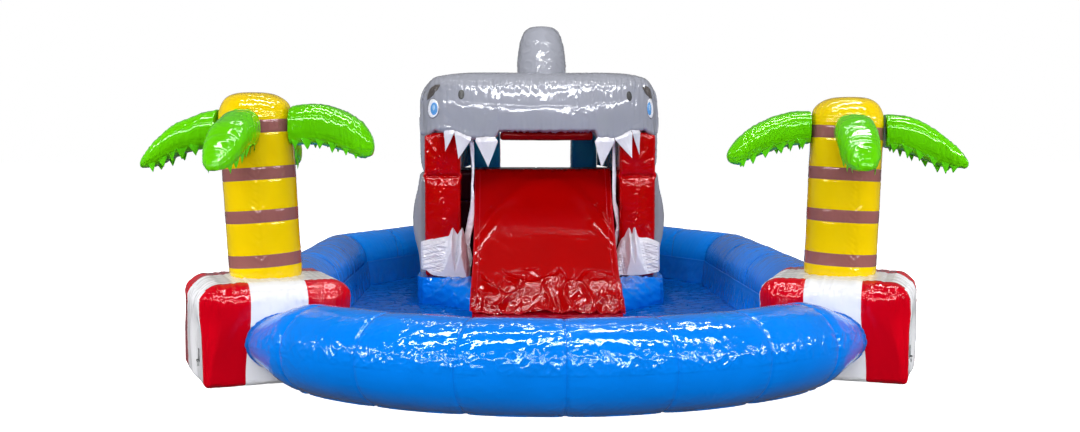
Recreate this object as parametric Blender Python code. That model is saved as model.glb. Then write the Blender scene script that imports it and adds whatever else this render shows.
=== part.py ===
"""Water bounce house: an air-blown pool ring with a shark-mouth slide house and two palms.

Metres, +Z up, +Y from the pool's front edge towards the slide house.
The layout below is dimensioned from the centre of the pool; the datum empty carries
everything to the model's own origin, the middle of its footprint on the ground.
"""
import bpy
import bmesh
import math
from mathutils import Vector, Matrix

# ---------------------------------------------------------------- driving dimensions
SHIFT_X = 0.0109         # pool centre line to the middle of the overall width
SHIFT_Y = -0.3830        # layout origin to the middle of the overall length

GAP = 0.0005             # running gap between touching chambers
TUBE_R = 0.31            # pool tube radius
TUBE_SIDES = 16
TUBE_AXIS_Z = TUBE_R * math.cos(math.pi / TUBE_SIDES)   # tube rests on a flat
ARC_R = 2.35             # radius of the front tube's axis
ARC_C = (0.0, -1.73)     # centre of that arc
BLOCK_ANGLE = 21.0       # blocks sit this far below the arc's cross axis, degrees
BLOCK_HALF = 0.54        # half the plan size of a corner block
BLOCK_H = 0.72
SIDE_X = 2.36            # side tube axis
CORNER_Y = 2.79          # where side and back tube axes meet
BACK_END = (1.65, 4.13)  # where the back tube's axis would meet the house
HOUSE_SIDE = 1.400       # outer face of the lower house walls
WALL_IN = 1.10           # inner face of those walls
HOUSE_FRONT = 1.64       # front of the walls
HOUSE_REAR = 4.60        # rear of the house
FLOOR_T = 0.008          # pool floor sheet
BASE_H = 0.29            # base cushions
SLIDE_X = 0.035          # the slide hangs a little to one side of the centre line
SLIDE_HALF = 0.740
SLIDE_FOOT_Y = -0.08
BASE_IN = (0.717, 0.787) # inner faces of the left and right base cushions
CREST_Y = 1.60
DECK_Z = 1.43
TRUNK_R = 0.27
TRUNK_TOP = (2.115, 2.085)   # left, right
LEAN = (3.1, 2.0)        # outward lean of the trunks, degrees
FIN_X = 0.04
RING_WIRE = 0.003        # anchor ring wire radius


# ---------------------------------------------------------------- clean start
for old in list(bpy.data.objects):
    bpy.data.objects.remove(old, do_unlink=True)

datum = bpy.data.objects.new("datum", None)
bpy.context.scene.collection.objects.link(datum)
datum.location = (SHIFT_X, SHIFT_Y, 0.0)

MATERIALS = {}


def material(name, colour, roughness, metallic=0.0):
    if name not in MATERIALS:
        m = bpy.data.materials.new(name)
        m.use_nodes = True
        b = m.node_tree.nodes["Principled BSDF"]
        b.inputs["Base Color"].default_value = (*colour, 1.0)
        b.inputs["Roughness"].default_value = roughness
        b.inputs["Metallic"].default_value = metallic
        m.diffuse_color = (*colour, 1.0)
        MATERIALS[name] = m
    return MATERIALS[name]


BLUE = material("vinyl_blue", (0.01, 0.16, 0.72), 0.22)
BLUE_FLOOR = material("vinyl_blue_floor", (0.01, 0.11, 0.5), 0.28)
RED = material("vinyl_red", (0.62, 0.0, 0.01), 0.22)
WHITE = material("vinyl_white", (0.82, 0.82, 0.85), 0.3)
GREY = material("vinyl_grey", (0.27, 0.28, 0.3), 0.3)
YELLOW = material("vinyl_yellow", (0.9, 0.6, 0.0), 0.25)
GREEN = material("vinyl_green", (0.13, 0.6, 0.01), 0.25)
TEAL = material("vinyl_teal", (0.03, 0.14, 0.25), 0.35)
MAROON = material("vinyl_maroon", (0.06, 0.005, 0.012), 0.4)
BLACK = material("webbing_black", (0.02, 0.02, 0.02), 0.8)
STEEL = material("ring_steel", (0.6, 0.6, 0.62), 0.3, 1.0)
PLASTIC = material("drain_plastic", (0.85, 0.85, 0.85), 0.35)


# ---------------------------------------------------------------- mesh helpers
def add(name, verts, faces, mat, origin=(0, 0, 0), smooth=True):
    """A closed mesh, its normals turned outwards, with its origin at the given point."""
    o = Vector(origin)
    bm = bmesh.new()
    vs = [bm.verts.new(Vector(v) - o) for v in verts]
    for f in faces:
        bm.faces.new([vs[i] for i in f])
    bmesh.ops.recalc_face_normals(bm, faces=bm.faces)
    me = bpy.data.meshes.new(name)
    bm.to_mesh(me)
    bm.free()
    if smooth:
        me.shade_smooth()
        me.set_sharp_from_angle(angle=math.radians(35))
    me.materials.append(mat)
    ob = bpy.data.objects.new(name, me)
    bpy.context.scene.collection.objects.link(ob)
    ob.parent = datum
    ob.location = o
    return ob


def loft(name, rings, mat, origin=(0, 0, 0), smooth=True):
    """Skin a row of equal rings and close both ends."""
    n = len(rings[0])
    verts = [p for r in rings for p in r]
    faces = [tuple(range(n))[::-1]]
    for i in range(len(rings) - 1):
        for j in range(n):
            k = (j + 1) % n
            faces.append((i * n + j, i * n + k, (i + 1) * n + k, (i + 1) * n + j))
    faces.append(tuple((len(rings) - 1) * n + j for j in range(n)))
    return add(name, verts, faces, mat, origin, smooth)


def extrude(name, outline, place_lo, place_hi, mat, origin=(0, 0, 0), smooth=True):
    """A flat outline carried from one placing to another."""
    return loft(name, [[place_lo(*p) for p in outline], [place_hi(*p) for p in outline]], mat, origin, smooth)


def along_x(outline, x0, x1):
    return [[(x0, y, z) for y, z in outline], [(x1, y, z) for y, z in outline]]


def rounded_rect(hx, hy, r, steps=4):
    """Points of a rounded rectangle, counter-clockwise."""
    pts = []
    for cx, cy, a0 in ((hx - r, hy - r, 0), (-hx + r, hy - r, 90), (-hx + r, -hy + r, 180), (hx - r, -hy + r, 270)):
        for k in range(steps + 1):
            a = math.radians(a0 + 90.0 * k / steps)
            pts.append((cx + r * math.cos(a), cy + r * math.sin(a)))
    return pts


def pillow(name, centre, half, levels, mat, corner=0.1, yaw=0.0):
    """A chamber of rounded-rectangle rings; levels are (z, inset from the full half size)."""
    c, s = math.cos(yaw), math.sin(yaw)
    rings = []
    for z, inset in levels:
        r = max(0.02, corner - 0.3 * inset)
        ring = []
        for x, y in rounded_rect(half[0] - inset, half[1] - inset, r):
            ring.append((centre[0] + c * x - s * y, centre[1] + s * x + c * y, z))
        rings.append(ring)
    return loft(name, rings, mat)


def plate(name, lo, hi, mat):
    outline = [(lo[0], lo[1]), (hi[0], lo[1]), (hi[0], hi[1]), (lo[0], hi[1])]
    return loft(name, [[(x, y, lo[2]) for x, y in outline], [(x, y, hi[2]) for x, y in outline]], mat, smooth=False)


def box(name, lo, hi, mat, bevel):
    cx, cy = (lo[0] + hi[0]) / 2, (lo[1] + hi[1]) / 2
    hx, hy = (hi[0] - lo[0]) / 2, (hi[1] - lo[1]) / 2
    b = bevel
    levels = [(lo[2], 0.6 * b), (lo[2] + 0.25 * b, 0.2 * b), (lo[2] + b, 0.0),
              (hi[2] - b, 0.0), (hi[2] - 0.25 * b, 0.2 * b), (hi[2], 0.6 * b)]
    return pillow(name, (cx, cy), (hx, hy), levels, mat, corner=b)


def tube_ring():
    """Offsets (sideways, height) round a pool tube, flat side down."""
    out = []
    for k in range(TUBE_SIDES):
        a = math.radians(-90 + 180 / TUBE_SIDES) + 2 * math.pi * k / TUBE_SIDES
        out.append((TUBE_R * math.cos(a), TUBE_AXIS_Z + TUBE_R * math.sin(a)))
    return out


# ---------------------------------------------------------------- pool ring
BA = math.radians(BLOCK_ANGLE)


def block_frame(side):
    """Centre of a corner block, its outward radial and its forward tangent."""
    u = Vector((side * math.cos(BA), -math.sin(BA), 0))
    t = Vector((-side * math.sin(BA), -math.cos(BA), 0))
    c = Vector((ARC_C[0], ARC_C[1], 0)) + ARC_R * u
    return c, u, t


def front_tube():
    span = math.pi - 2 * BA
    cut = BLOCK_HALF + GAP
    _, u, t = block_frame(1)
    steps = 18
    rings = []
    for i in range(steps + 1):
        s = i / steps
        ring = []
        for dr, z in tube_ring():
            rho = ARC_R + dr
            a0 = math.asin(cut / rho)
            a = a0 + s * (span - 2 * a0)
            p = Vector((ARC_C[0], ARC_C[1], 0)) + rho * (math.cos(a) * u + math.sin(a) * t)
            ring.append((p.x, p.y, z))
        rings.append(ring)
    loft("front_tube", rings, BLUE)


def side_and_back_tube(side, word):
    c, u, t = block_frame(side)
    back = c - (BLOCK_HALF + GAP) * t          # centre of the block's back face
    n = -t
    d1 = Vector((0, 1, 0))
    end = Vector((side * BACK_END[0], BACK_END[1], 0))
    corner = Vector((side * SIDE_X, CORNER_Y, 0))
    d2 = (end - corner).normalized()
    mitre = (d1 + d2).normalized()
    start, seam1, seam2, last = [], [], [], []
    side2 = Vector((d2.y, -d2.x, 0)) * side    # points outwards across the back tube
    wall = side * (HOUSE_SIDE + 0.004)
    for dr, z in tube_ring():
        p = Vector((side * (SIDE_X + dr), 0, 0))
        y0 = back.y - n.x * (p.x - back.x) / n.y
        start.append((p.x, y0, z))
        ym = corner.y - mitre.x * (p.x - corner.x) / mitre.y
        seam1.append((p.x, ym - GAP, z))
        q = corner + dr * side2
        k = -(mitre.dot(q - corner)) / mitre.dot(d2)
        m = q + (k + GAP) * d2
        seam2.append((m.x, m.y, z))
        k = min((wall - q.x) / d2.x, (HOUSE_REAR - 0.01 - q.y) / d2.y)   # on the wall, or flush with the house's rear
        m = q + k * d2
        last.append((m.x, m.y, z))
    loft("side_tube_" + word, [start, seam1], BLUE)
    loft("back_tube_" + word, [seam2, last], BLUE)
    return start, seam1, last


def inner_wall_path(inset):
    """The inside of the ring at the tubes' waist, pulled in by inset, right side first."""
    pts = []
    span = math.pi - 2 * BA
    _, u, t = block_frame(1)
    rho = ARC_R - TUBE_R - inset
    a0 = math.asin((BLOCK_HALF + inset) / rho)
    arc = []
    for i in range(13):
        a = a0 + (i / 12) * (span - 2 * a0)
        p = Vector((ARC_C[0], ARC_C[1], 0)) + rho * (math.cos(a) * u + math.sin(a) * t)
        arc.append((p.x, p.y))
    right = []
    c, u, t = block_frame(1)
    h = BLOCK_HALF + inset
    x_in = SIDE_X - TUBE_R - inset
    # along the block's front face, its inner face and its back face to the side tube
    right.append(tuple((c - h * u + h * t).xy))
    right.append(tuple((c - h * u - h * t).xy))
    back = c - h * t
    right.append((x_in, back.y + t.x * (x_in - back.x) / -t.y))
    corner = Vector((SIDE_X, CORNER_Y, 0))
    end = Vector((BACK_END[0], BACK_END[1], 0))
    d2 = (end - corner).normalized()
    side2 = Vector((d2.y, -d2.x, 0))
    mitre = (Vector((0, 1, 0)) + d2).normalized()
    right.append((x_in, corner.y - mitre.x * (x_in - corner.x) / mitre.y))
    q = corner - (TUBE_R + inset) * side2
    xw = HOUSE_SIDE + 0.006
    k = (xw - q.x) / d2.x
    right.append(tuple((q + k * d2).xy))
    path = arc[::-1] + right                    # front arc from left to right, then the right side
    left = [(-x, y) for x, y in right]
    return path + left[::-1]                    # closed loop, broken at the house


def pool_floor():
    loop = inner_wall_path(0.012)
    n_arc = 13
    arc, rest = loop[:n_arc], loop[n_arc:]
    right, left = rest[: len(rest) // 2], rest[len(rest) // 2:]
    rear = [(HOUSE_SIDE + 0.002, right[-1][1] + 0.02), (HOUSE_SIDE + 0.002, HOUSE_REAR), (-HOUSE_SIDE - 0.002, HOUSE_REAR), (-HOUSE_SIDE - 0.002, right[-1][1] + 0.02)]
    # the tubes' flats start well outside their waists, so the sheet keeps clear of them
    outline = arc + right + rear + left
    loft("pool_floor", [[(x, y, 0.0) for x, y in outline], [(x, y, FLOOR_T) for x, y in outline]], BLUE_FLOOR, smooth=False)


def pool_liner():
    """The upright sheet inside the ring, from the floor to the tubes' waist."""
    outer, inner = inner_wall_path(0.014), inner_wall_path(0.020)
    k = 13 + 5
    order = list(range(k, len(outer))) + list(range(k))   # from the left house side round to the right
    outer = [outer[i] for i in order]
    inner = [inner[i] for i in order]
    z0, z1 = FLOOR_T + GAP, 0.30
    rings = []
    for o, i in zip(outer, inner):
        rings.append([(i[0], i[1], z0), (o[0], o[1], z0), (o[0], o[1], z1), (i[0], i[1], z1)])
    loft("pool_liner", rings, BLUE_FLOOR, smooth=False)


def corner_block(side, word):
    c, u, t = block_frame(side)
    yaw = math.atan2(u.y, u.x)
    levels = [(0.0, 0.050), (0.035, 0.014), (0.09, 0.0), (0.56, 0.0), (0.635, 0.020), (0.69, 0.060), (BLOCK_H, 0.125)]
    pillow("corner_block_" + word, (c.x, c.y), (BLOCK_HALF, BLOCK_HALF), levels, RED, corner=0.13, yaw=yaw)


# ---------------------------------------------------------------- palms
LEAF_AT = (0.2745, 0.38, 0.50, 0.62, 0.73, 0.83, 0.905)      # stations out from the trunk's axis
LEAF_HALF = (0.128, 0.140, 0.143, 0.138, 0.122, 0.088, 0.030)  # half widths there
LEAF_LINES = {  # top and underside heights at the stations
    "outer_left": ((1.985, 1.969, 1.926, 1.876, 1.790, 1.690, 1.600), (1.700, 1.695, 1.675, 1.635, 1.585, 1.555, 1.550)),
    "inner_left": ((2.005, 2.024, 2.026, 1.995, 1.950, 1.875, 1.760), (1.720, 1.725, 1.720, 1.695, 1.660, 1.625, 1.660)),
    "inner_right": ((1.975, 1.977, 1.954, 1.910, 1.845, 1.762, 1.670), (1.735, 1.720, 1.695, 1.655, 1.610, 1.572, 1.600)),
    "outer_right": ((1.950, 1.946, 1.920, 1.856, 1.775, 1.688, 1.600), (1.700, 1.685, 1.640, 1.590, 1.555, 1.545, 1.550)),
}


def palm(side, word):
    c, _, _ = block_frame(side)
    z0 = BLOCK_H + GAP
    which = 0 if side < 0 else 1
    k = math.tan(math.radians(LEAN[which])) * side
    top = TRUNK_TOP[which]
    sides = 24

    def axis(z):
        return (c.x + k * (z - z0), c.y)

    rings = []
    for z, r in ((z0, 0.268), (z0 + 0.1, TRUNK_R), (1.3, TRUNK_R), (top - 0.18, 0.268), (top - 0.10, 0.254), (top - 0.05, 0.224), (top - 0.018, 0.170), (top, 0.09)):
        ax, ay = axis(z)
        rings.append([(ax + r * math.cos(2 * math.pi * i / sides), ay + r * math.sin(2 * math.pi * i / sides), z) for i in range(sides)])
    loft("palm_trunk_" + word, rings, YELLOW)

    turn = math.radians(7.5)
    for j in range(4):
        a = -math.pi / 2 - turn + j * math.pi / 2
        d = Vector((math.cos(a), math.sin(a), 0))
        e = Vector((-d.y, d.x, 0))
        inner = d.x * side < -0.5
        tops, lows = LEAF_LINES[("inner_" if inner else "outer_") + word]
        rings = []
        for rho, hw, zt, zl in zip(LEAF_AT, LEAF_HALF, tops, lows):
            ring = []
            for i in range(12):
                b = 2 * math.pi * i / 12
                x, y = math.cos(b), math.sin(b)
                p = Vector((axis(1.85)[0], axis(1.85)[1], 0)) + d * rho + e * (hw * x)
                p += d * (abs(k) * 0.17 if rho < 0.3 else 0.0)     # the root's flat stands clear of the leaning trunk
                ring.append((p.x, p.y, (zt + zl) / 2 + (zt - zl) / 2 * y))
            rings.append(ring)
        loft("palm_leaf_%s_%d" % (word, j + 1), rings, GREEN)


# ---------------------------------------------------------------- slide house
Z_ON = FLOOR_T + GAP


def house_base(side, word):
    """A cushion that fills the corner between slide and house, its front running back slantwise and sloping up."""
    x0, x1 = BASE_IN[0 if side < 0 else 1], 1.33
    near, far = (0.55, 1.12) if side < 0 else (0.40, 0.95)
    yb = HOUSE_FRONT - GAP
    rings = []
    for z, f in ((Z_ON, 0.0), (0.07, 0.0), (0.14, 0.08), (0.21, 0.27), (0.262, 0.58), (BASE_H, 1.0)):
        yi, yo = near + f * (1.02 - near), far + f * (1.14 - far)
        rings.append([(side * x0, yi, z), (side * 1.26, yo, z), (side * x1, yo + 0.14, z), (side * x1, yb, z), (side * x0, yb, z)])
    loft("house_base_" + word, rings, BLUE)


SLIDE_LINE = ((SLIDE_FOOT_Y, 0.055), (0.12, 0.235), (0.45, 0.475), (0.85, 0.80), (1.20, 1.11), (1.42, 1.31), (1.53, 1.402), (CREST_Y, 1.426))


def slide():
    outline = [(SLIDE_FOOT_Y, Z_ON)] + list(SLIDE_LINE) + [(CREST_Y, Z_ON)]
    loft("slide_body", along_x(outline, SLIDE_X - SLIDE_HALF, SLIDE_X + SLIDE_HALF), RED)
    # loose cover: the slide's line lifted by its gap and its thickness, lapped on to the platform
    top = list(SLIDE_LINE) + [(1.63, 1.4275), (1.72, 1.4275)]
    lo, hi = [], []
    for i, (y, z) in enumerate(top):
        a, b = top[max(i - 1, 0)], top[min(i + 1, len(top) - 1)]
        d = Vector((b[0] - a[0], b[1] - a[1])).normalized()
        n = Vector((-d.y, d.x))
        lo.append((y + 0.004 * n.x, z + 0.004 * n.y))
        hi.append((y + 0.012 * n.x, z + 0.012 * n.y))
    loft("slide_cover", along_x(lo + hi[::-1], SLIDE_X - SLIDE_HALF - 0.005, SLIDE_X + SLIDE_HALF + 0.005), RED)


def platform():
    """Deck chamber with an upright skirt at its front, which closes the space behind the slide and the pillars."""
    y0, y1, y2 = CREST_Y + GAP, CREST_Y + GAP + 0.004, 3.0
    low, under, top = BASE_H + 0.0015, DECK_Z - 0.35, DECK_Z - 0.002
    side_view = [(y0, low), (y1, low), (y1, under), (y2, under), (y2, top - 0.03), (y2 - 0.03, top), (y0, top)]
    loft("platform", along_x(side_view, -WALL_IN + GAP, WALL_IN - GAP), MAROON, smooth=False)


def cabin_lining():
    """Dark lining of the cabin: a curtain on each side, drawn in towards the rear, and the strip under the roof that joins them."""
    rows = []
    for y, x in ((1.632, 0.900), (4.055, 0.828)):
        out = [(x + 0.004, y, 1.4285), (x + 0.004, y, 2.2595), (-x - 0.004, y, 2.2595), (-x - 0.004, y, 1.4285)]
        inn = [(x, y, 1.4285), (x, y, 2.2555), (-x, y, 2.2555), (-x, y, 1.4285)]
        rows.append(out + inn)
    verts = rows[0] + rows[1]
    faces = []
    for k in range(3):
        faces.append((k, k + 1, 5 + k, 4 + k))                       # front end
        faces.append((8 + k, 9 + k, 13 + k, 12 + k))                 # rear end
        faces.append((k, k + 1, 9 + k, 8 + k))                       # outside
        faces.append((4 + k, 5 + k, 13 + k, 12 + k))                 # inside
    faces += [(0, 4, 12, 8), (3, 7, 15, 11)]                         # lower hems
    add("cabin_lining", verts, faces, MAROON, smooth=False)


def stairs():
    """Two wide treads behind the platform and a narrow first step out between the columns."""
    w, n = WALL_IN - GAP, 0.445
    y0, y1, y2, y3 = 3.0 + GAP, 3.50, 4.04, HOUSE_REAR - 0.02
    body = [(y0, Z_ON), (y2, Z_ON), (y2, 0.72), (y1, 0.72), (y1, 1.08), (y0, 1.08)]
    ob = loft("stairs", along_x(body, -w, w), BLUE, smooth=False)
    step = [(y2 - 0.1, Z_ON + 0.0), (y3, Z_ON + 0.0), (y3, 0.36), (y2 - 0.1, 0.36)]
    tool = loft("stairs_step_tool", along_x(step, 0.025 - n, 0.025 + n), BLUE, smooth=False)
    tool.hide_render = True
    tool.display_type = "WIRE"
    m = ob.modifiers.new("first_step", "BOOLEAN")
    m.operation = "UNION"
    m.object = tool


def pillar(side, word):
    x0, x1 = 0.855, 1.25
    y0, y1 = 1.22, 1.597
    cx, cy = side * (x0 + x1) / 2, (y0 + y1) / 2
    h = ((x1 - x0) / 2, (y1 - y0) / 2)
    levels = [(BASE_H + GAP, 0.02), (BASE_H + 0.05, 0.0), (1.31, 0.0), (1.37, 0.03), (1.43, 0.0), (1.72, 0.0), (1.785, 0.02)]
    pillow("pillar_" + word, (cx, cy), h, levels, RED, corner=0.09)


def gum(side, word):
    """A wrinkled white apron at the foot of a pillar, with two pointed lower teeth."""
    z0 = BASE_H + GAP
    yb = 1.22 - GAP
    if side < 0:
        xs = [(0.765, 0.43), (0.80, 0.60), (0.841, 0.812), (0.872, 0.76), (0.90, 0.75), (0.942, 0.812), (0.985, 0.735), (1.03, 0.733), (1.15, 0.70), (1.285, 0.665)]
    else:
        xs = [(0.80, 0.44), (0.84, 0.60), (0.884, 0.70), (0.92, 0.72), (0.957, 0.812), (0.99, 0.778), (1.018, 0.815), (1.06, 0.72), (1.107, 0.715), (1.245, 0.67), (1.29, 0.655)]
    rings = []
    for x, zt in xs:
        lean = 0.06 + 0.05 * (zt - 0.6)
        rings.append([(side * x, yb, z0), (side * x, 1.075, z0), (side * x, 1.085, z0 + 0.06),
                      (side * x, yb - lean * 0.9, z0 + 0.6 * (zt - z0)), (side * x, yb - 0.035, zt - 0.01), (side * x, yb, zt)])
    loft("gum_" + word, rings, WHITE, smooth=False)


STRIP_SEWN = (  # height and distance from the middle of the sewn edge, left and right strip
    ((0.293, 0.790), (0.45, 0.795), (0.529, 0.814), (0.608, 0.824), (0.726, 0.820), (0.818, 0.800), (0.924, 0.780), (1.029, 0.757), (1.134, 0.748), (1.278, 0.746), (1.343, 0.740), (1.435, 0.738), (1.539, 0.744), (1.67, 0.757), (1.745, 0.763)),
    ((0.293, 0.8535), (0.352, 0.8535), (0.405, 0.849), (0.471, 0.833), (0.551, 0.824), (0.643, 0.838), (0.736, 0.850), (0.828, 0.8535), (0.907, 0.852), (1.013, 0.848), (1.092, 0.824), (1.237, 0.821), (1.381, 0.823), (1.539, 0.815), (1.745, 0.812)),
)
STRIP_FREE = (  # the same for the free, zigzag edge
    ((0.293, 0.760), (0.344, 0.758), (0.41, 0.749), (0.482, 0.735), (0.542, 0.748), (0.621, 0.765), (0.726, 0.748), (0.845, 0.720), (0.969, 0.7125), (1.055, 0.7125), (1.147, 0.7135), (1.265, 0.724), (1.343, 0.716), (1.435, 0.7125), (1.745, 0.7125)),
    ((0.293, 0.838), (0.312, 0.835), (0.392, 0.815), (0.471, 0.790), (0.577, 0.7835), (0.643, 0.790), (0.749, 0.815), (0.828, 0.830), (0.894, 0.822), (1.00, 0.800), (1.079, 0.787), (1.237, 0.7835), (1.745, 0.7835)),
)


def along(pairs, z):
    """The distance at a height, on straight lines between the pairs."""
    for (za, xa), (zb, xb) in zip(pairs, pairs[1:]):
        if z <= zb:
            return xa + (xb - xa) * max(z - za, 0.0) / (zb - za)
    return pairs[-1][1]


def tooth_strip(side, word):
    """A tall thin row of teeth that stands upright beside the slide, from the cushion up to the snout."""
    sewn, free = (row[0 if side < 0 else 1] for row in (STRIP_SEWN, STRIP_FREE))
    rings = []
    for z in (0.293, 0.35, 0.41, 0.482, 0.545, 0.62, 0.73, 0.828, 0.90, 0.969, 1.055, 1.15, 1.25, 1.343, 1.435, 1.60, 1.745):
        xa, xb = side * along(sewn, z), side * along(free, z)
        rings.append([(xa, 1.278, z), (xb, 1.278, z), (xb, 1.284, z), (xa, 1.284, z)])
    loft("tooth_strip_" + word, rings, WHITE, smooth=False)


def side_wall(side, word):
    x0, x1 = WALL_IN, HOUSE_SIDE
    cx = side * (x0 + x1) / 2
    h = ((x1 - x0) / 2, (HOUSE_REAR - HOUSE_FRONT) / 2)
    levels = [(Z_ON, 0.02), (0.06, 0.0), (1.30, 0.0), (1.36, 0.02), (1.40, 0.05)]
    pillow("side_wall_" + word, (cx, (HOUSE_REAR + HOUSE_FRONT) / 2), h, levels, GREY, corner=0.06)


def rear_column(side, word):
    x0, x1 = 0.025 + side * 0.475, side * 0.825
    lo = (min(x0, x1), 4.06, Z_ON)
    hi = (max(x0, x1), 4.44, 2.13)
    box("rear_column_" + word, lo, hi, TEAL, bevel=0.05)


JAW_X = (  # half width, front, underside, top
    (0.0, 0.90, 1.850, 2.48), (0.50, 0.90, 1.850, 2.48), (0.56, 0.91, 1.765, 2.48), (0.75, 0.95, 1.765, 2.475),
    (0.95, 1.03, 1.850, 2.465), (1.12, 1.16, 1.860, 2.42), (1.22, 1.30, 1.815, 2.33), (1.275, 1.45, 1.83, 2.18),
)


PALATE_X = 0.0625


def upper_jaw():
    yb = 1.63
    rings = []
    cols = [(-x, f, b, t) for x, f, b, t in JAW_X[:0:-1]] + [(x, f, b, t) for x, f, b, t in JAW_X]
    for x, f, b, t in cols:
        x += PALATE_X * min(1.0, max(0.0, (1.0 - abs(x)) / 0.4))      # the mouth's middle sits right of the head's
        d = yb - f
        h = t - b
        prof = [(yb, b + 0.02), (f + 0.30 * d, b), (f + 0.10 * d, b + 0.02 * h), (f + 0.02 * d, b + 0.16 * h), (f, b + 0.40 * h),
                (f + 0.03 * d, b + 0.62 * h), (f + 0.13 * d, b + 0.84 * h), (f + 0.34 * d, b + 0.965 * h), (f + 0.62 * d, t), (yb, t - 0.01)]
        rings.append([(x, y, z) for y, z in prof])
    loft("upper_jaw", rings, GREY)


def head_canopy():
    """A roof and two cheeks in one bent chamber, open below, in front and behind."""
    y0, y1 = 1.63 + GAP, 4.50
    outer, inner = [], []
    for k in range(7):
        a = math.radians(90 * k / 6)
        outer.append((0.99 + 0.335 * math.cos(a), 2.14 + 0.34 * math.sin(a)))
        inner.append((0.94 + 0.20 * math.cos(a), 2.11 + 0.15 * math.sin(a)))
    right_outer = [(1.29, 1.405), (1.32, 1.50)] + outer
    right_inner = [(1.13, 1.405)] + inner
    outline = right_outer + [(-x, z) for x, z in right_outer[::-1]] + [(-x, z) for x, z in right_inner] + right_inner[::-1]
    verts = [(x, y0, z) for x, z in outline] + [(x, y1, z) for x, z in outline]
    n = len(outline)
    m = len(right_outer)
    k = len(right_inner)
    faces = []
    for j in range(n):
        i = (j + 1) % n
        faces.append((j, i, n + i, n + j))
    # end faces as strips between the outer and the inner line, so no face is concave
    o_idx = list(range(2 * m))
    i_idx = [n - 1 - q for q in range(2 * k)]
    for base in (0, n):
        a, b = 0, 0
        while a < 2 * m - 1 or b < 2 * k - 1:
            fa = (a + 1) / (2 * m - 1) if a < 2 * m - 1 else 9
            fb = (b + 1) / (2 * k - 1) if b < 2 * k - 1 else 9
            if fa <= fb:
                faces.append((base + o_idx[a], base + o_idx[a + 1], base + i_idx[b]))
                a += 1
            else:
                faces.append((base + o_idx[a], base + i_idx[b + 1], base + i_idx[b]))
                b += 1
    add("head_canopy", verts, faces, GREY)


def palate():
    outline = [(1.06, 1.762), (1.10, 1.757), (1.52, 1.757), (1.54, 1.762), (1.54, 1.846), (1.06, 1.846)]
    loft("palate", along_x(outline, PALATE_X - 0.49, PALATE_X + 0.49), RED)


def dorsal_fin():
    rings = []
    for z, hx, y0, y1 in ((2.485, 0.270, 1.70, 2.62), (2.62, 0.272, 1.72, 2.62), (2.80, 0.262, 1.80, 2.60), (2.94, 0.235, 1.92, 2.58), (3.02, 0.195, 2.03, 2.55), (3.06, 0.13, 2.12, 2.50)):
        cy, hy = (y0 + y1) / 2, (y1 - y0) / 2
        rings.append([(FIN_X + hx * math.cos(2 * math.pi * i / 20), cy + hy * math.sin(2 * math.pi * i / 20), z) for i in range(20)])
    loft("dorsal_fin", rings, GREY)


# ---------------------------------------------------------------- upper teeth, each a flap hung on its top seam
TEETH = (  # left top corner, right top corner and tip, from left to right
    ((-1.025, 1.078, 1.846), (-0.918, 1.012, 1.838), (-1.007, 1.060, 1.640)),
    ((-0.910, 0.998, 1.838), (-0.738, 0.932, 1.768), (-0.867, 0.980, 1.560)),
    ((-0.688, 0.918, 1.757), (-0.452, 0.890, 1.757), (-0.555, 0.904, 1.474)),
    ((0.560, 0.890, 1.757), (0.775, 0.925, 1.757), (0.632, 0.904, 1.471)),
    ((0.783, 0.937, 1.768), (0.968, 1.012, 1.838), (0.960, 0.992, 1.569)),
    ((0.974, 1.022, 1.838), (1.062, 1.090, 1.846), (1.046, 1.075, 1.600)),
)
TOOTH_T = 0.004


def tooth(index, top_a, top_b, tip):
    a, b, c = (Vector(p) for p in (top_a, top_b, tip))
    drop = Vector((0, 0, -0.012))
    a, b = a + drop, b + drop
    n = (b - a).cross(c - a).normalized() * (TOOTH_T / 2)
    mid = (a + b) / 2
    rings = [[tuple(p - n) for p in (a, b, c)], [tuple(p + n) for p in (a, b, c)]]
    loft("tooth_upper_%d" % index, rings, WHITE, origin=tuple(mid), smooth=False)


# ---------------------------------------------------------------- blower sleeve, zip, drain
def inflation_sleeve():
    cx, cz, r1, r0, sides = 1.22, 0.185, 0.160, 0.150, 24
    y0, y1 = HOUSE_REAR + 0.003, HOUSE_REAR + 0.55
    verts, faces = [], []
    for y in (y0, y1):
        for r in (r1, r0):
            verts += [(cx + r * math.cos(2 * math.pi * i / sides), y, cz + r * math.sin(2 * math.pi * i / sides)) for i in range(sides)]
    s = sides
    for i in range(s):
        j = (i + 1) % s
        faces += [(i, j, 2 * s + j, 2 * s + i), (s + i, 3 * s + i, 3 * s + j, s + j),
                  (i, s + i, s + j, j), (2 * s + i, 2 * s + j, 3 * s + j, 3 * s + i)]
    add("inflation_sleeve", verts, faces, BLUE)


ZIP_X = -1.250
ZIP_Z = (0.45, 1.05)


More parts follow.
